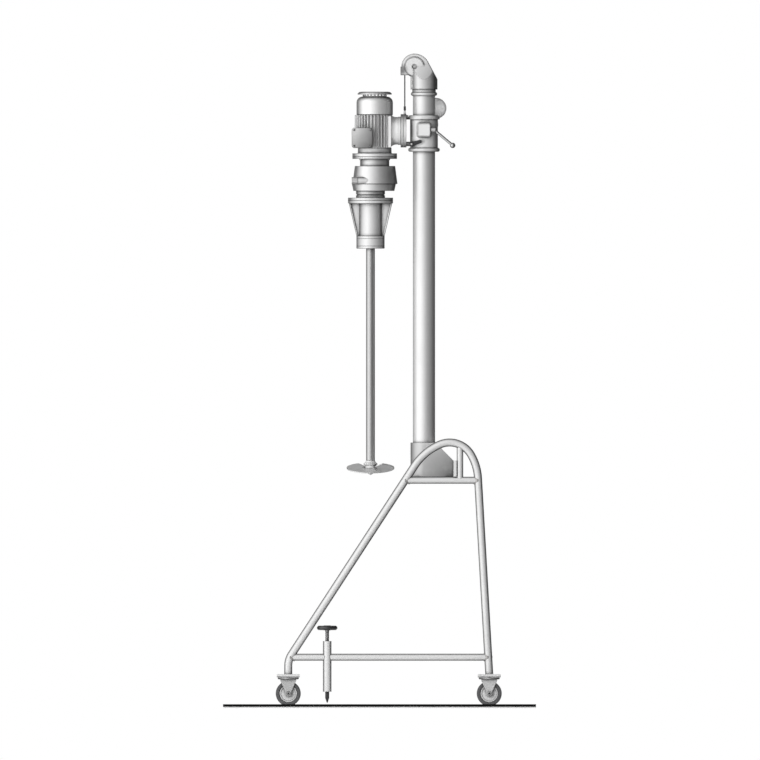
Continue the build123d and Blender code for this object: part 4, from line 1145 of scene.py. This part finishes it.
@dataclass
class ColumnBracket:
    """The two screws in the floor of the column's bracket."""

    x: float = 0.240
    y: float = 0.031
    z: float = 0.9170
    size: float = 0.010

    def build(self) -> None:
        """Builds the screws."""
        seats = [Seat((self.x, side * self.y, self.z), Facing.UP, 0.3) for side in (NEAR, FAR)]
        screws("bracket_screws", Screw(self.size), seats, "frame")


@dataclass(frozen=True)
class Seam:
    """A painted shadow line in a joint round the head: its upright axis, its height and its radius."""

    x: float
    z: float
    radius: float


@dataclass
class MotorHead:
    """Fasteners and painted seam shadows of the motor, variator and lantern."""

    motor_x: float = -0.0562
    cover_x: float = -0.0572
    output_x: float = -0.073
    motor_flange_z: float = 2.2106
    variator_flange_z: float = 2.1884
    outlet_flange_z: float = 2.0332
    flange_circle: float = 0.0785
    bearing_cap_z: float = 1.8296
    bearing_cap_circle: float = 0.0465
    rain_cap_z: float = 2.4572
    rain_cap_circle: float = 0.046
    lid: Point = (-0.1068, -0.1200, 2.2724)
    lid_reach: tuple[float, float] = (0.0325, 0.032)
    seam: float = 0.0007

    def build(self) -> None:
        """Builds the screws, then the painted seam shadows."""
        self.fasten()
        self.draw_seam_shadows()

    def fasten(self) -> None:
        """Sets the screws and nuts of the flanges, covers and caps."""
        small, middle, large = (Screw(size, Drive.FLUSH) for size in (0.004, 0.005, 0.006))
        x, y, z = self.lid
        across, up = self.lid_reach
        lid = [Seat((x + dx, y, z + dz), Facing.NEAR, 0.0) for dx in (-across, across) for dz in (-up, up)]
        motor_flange = (self.motor_x, 0, self.motor_flange_z)
        variator_flange = (self.motor_x, 0, self.variator_flange_z)
        outlet_flange = (self.output_x, 0, self.outlet_flange_z)
        bearing_cap = (self.output_x, 0, self.bearing_cap_z)
        rain_cap = (self.motor_x, 0, self.rain_cap_z)
        wide = self.flange_circle
        for name, screw, seats in (
                ("motor_flange_screws", large, circle_seats(motor_flange, wide, 4, Facing.UP, pi / 4)),
                ("variator_flange_nuts", Screw(0.006),
                 circle_seats(variator_flange, wide, 4, Facing.DOWN, pi / 4)),
                ("outlet_flange_screws", large, circle_seats(outlet_flange, wide, 6, Facing.UP, pi / 6)),
                ("bearing_cap_screws", middle,
                 circle_seats(bearing_cap, self.bearing_cap_circle, 6, Facing.DOWN, pi / 6)),
                ("terminal_box_screws", small, lid),
                ("rain_cap_screws", small, circle_seats(rain_cap, self.rain_cap_circle, 4, Facing.UP))):
            screws(name, screw, seats, "head")

    def draw_seam_shadows(self) -> None:
        """Draws painted shadow lines in the seams where the head's castings and the cowl meet."""
        low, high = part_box("fan_cowl")
        cowl = (high.y - low.y) / 2
        rings = Shape()
        for seam in (Seam(self.motor_x, low.z - 0.0009, cowl - 0.0007),
                     Seam(self.motor_x, low.z - 0.0022, cowl - 0.0008), Seam(self.motor_x, 2.1972, 0.0889),
                     Seam(self.cover_x, 2.0884, 0.0889), Seam(self.output_x, 2.0220, 0.0897),
                     Seam(self.output_x, 1.8400, 0.0562)):
            rings.add(Shape().ring(seam.radius, self.seam, 72, 6).place((seam.x, 0, seam.z)))
        rings.finish("head_seam_shadows", "head", dressing("seam_shadow"))


@dataclass
class Studio:
    """Floor, lamps, world and camera."""

    scale: float = 3.04
    center_x: float = -0.035
    center_z: float = 1.304
    lamp_size: float = 2.2
    middle: Point = (0.0, 0.0, 1.3)

    def plain(self, name: str, tone: float, rough: float, shine: float) -> bpy.types.Material:
        """Makes a plain grey material.

        Args:
            name: Its name.
            tone: Its grey.
            rough: Its roughness.
            shine: Its specular level.

        Returns:
            The material.
        """
        material = bpy.data.materials.new(name)
        material.use_nodes = True
        inputs = material.node_tree.nodes["Principled BSDF"].inputs
        inputs["Base Color"].default_value = (*grey(tone), 1.0)
        inputs["Roughness"].default_value = rough
        inputs["Specular IOR Level"].default_value = shine
        return material

    def floor(self) -> None:
        """Lays a pale floor slab with a low dark kerb along its front edge."""
        pale, dark = self.plain("pale_floor", 0.86, 0.8, 0.5), self.plain("floor_edge", 0.004, 0.9, 0.1)
        for name, size, at, material in (
                ("floor_slab", (1.252, 1.6, 0.008), (-0.037, 0.0, -0.0041), pale),
                ("floor_kerb", (1.252, 0.006, 0.0098), (-0.037, -0.803, 0.0022), dark)):
            shape = Shape()
            bmesh.ops.create_cube(shape.bm, size=1.0)
            bmesh.ops.scale(shape.bm, vec=size, verts=shape.bm.verts)
            shape.move(at)
            shape.finish(name, "", material)

    def world(self) -> None:
        """Makes a white background and a dim sky with one soft patch on the left for the light."""
        world = bpy.data.worlds.new("studio")
        world.use_nodes = True
        bpy.context.scene.world = world
        tree = world.node_tree
        w = Wiring(tree)
        output = next(n for n in tree.nodes if n.type == "OUTPUT_WORLD")
        sky = next(n for n in tree.nodes if n.type == "BACKGROUND")
        way = w.node("ShaderNodeTexCoord").outputs["Generated"]
        patch = w.ramp(w.near(way, Vector((-0.80, -0.58, 0.12)).normalized()), 0.30, 0.98)
        left = w.ramp(w.near(way, Vector((-1.0, -0.1, 0.1)).normalized()), -0.5, 1.0)
        tone = w.mix(left, grey(0.09), grey(0.34))
        w.feed(w.mix(patch, tone, grey(1.5)), sky.inputs["Color"])
        sky.inputs["Strength"].default_value = 1.0
        white = w.node("ShaderNodeBackground")
        w.feed(grey(1.0), white.inputs["Color"])
        mixed = w.node("ShaderNodeMixShader")
        seen = w.node("ShaderNodeLightPath").outputs["Is Camera Ray"]
        for index, source in enumerate((seen, sky.outputs[0], white.outputs[0])):
            w.feed(source, mixed.inputs[index])
        w.feed(mixed.outputs[0], output.inputs["Surface"])

    def hang(self, name: str, data: bpy.types.Light, at: Point, aim: Point) -> bpy.types.Object:
        """Hangs a light and points it.

        Args:
            name: Its name.
            data: The light.
            at: Where it hangs.
            aim: Where it points.

        Returns:
            The light's object.
        """
        light = bpy.data.objects.new(name, data)
        light.location = at
        light.rotation_euler = (Vector(aim) - Vector(at)).to_track_quat("-Z", "Y").to_euler()
        bpy.context.scene.collection.objects.link(light)
        return light

    def spot(self, name: str, at: Point, aim: Point, width: float, power: float) -> None:
        """Hangs a narrow spot.

        Args:
            name: The spot's name.
            at: Where it hangs.
            aim: Where it points.
            width: The width of the patch that it lights there.
            power: Its power in watts.
        """
        data = bpy.data.lights.new(name, "SPOT")
        data.spot_size = width / (Vector(aim) - Vector(at)).length
        data.spot_blend = 0.6
        data.shadow_soft_size = 0.05
        data.energy = power
        self.hang(name, data, at, aim)

    def lamp(self, name: str, at: Point, power: float) -> None:
        """Hangs a soft lamp, twice as tall as it is wide, that glossy pieces don't mirror.

        Args:
            name: The lamp's name.
            at: Where it hangs.
            power: Its power in watts.
        """
        data = bpy.data.lights.new(name, "AREA")
        data.shape = "RECTANGLE"
        data.size = self.lamp_size
        data.size_y = self.lamp_size * 2
        data.energy = power
        self.hang(name, data, at, self.middle).visible_glossy = False

    def camera(self) -> None:
        """Sets the square-on camera of a side elevation."""
        data = bpy.data.cameras.new("elevation")
        data.type = "ORTHO"
        data.ortho_scale = self.scale
        data.clip_end = 60.0
        camera = bpy.data.objects.new("elevation", data)
        camera.location = (self.center_x, -8.0, self.center_z)
        camera.rotation_euler = (pi / 2, 0, 0)
        bpy.context.scene.collection.objects.link(camera)
        bpy.context.scene.camera = camera

    def build(self) -> None:
        """Sets up the whole studio."""
        self.floor()
        self.world()
        self.lamp("key", (-3.6, -5.2, 2.0), 235.0)
        self.lamp("fill", (0.8, -6.0, 2.6), 24.0)
        self.lamp("back_right", (3.4, 4.6, 2.2), 130.0)
        self.lamp("back_left", (-3.4, 4.6, 2.2), 130.0)
        self.spot("grip_spot", (0.6, -4.0, 2.7), (0.262, 0.06, 2.39), 0.16, 420.0)
        self.camera()
        bpy.context.scene.view_settings.view_transform = "Standard"


def main() -> None:
    """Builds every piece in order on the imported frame."""
    logging.basicConfig(level=logging.INFO, format="%(name)s: %(message)s")
    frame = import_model()
    for piece in (CadPieces(frame), SideFrames(), LiftingRope(), ScrewJack(NEAR), ScrewJack(FAR), AxleCaps(),
                  LockNut(), ColumnBracket(), MotorHead(), Studio()):
        piece.build()


if __name__ == "__main__":
    main()
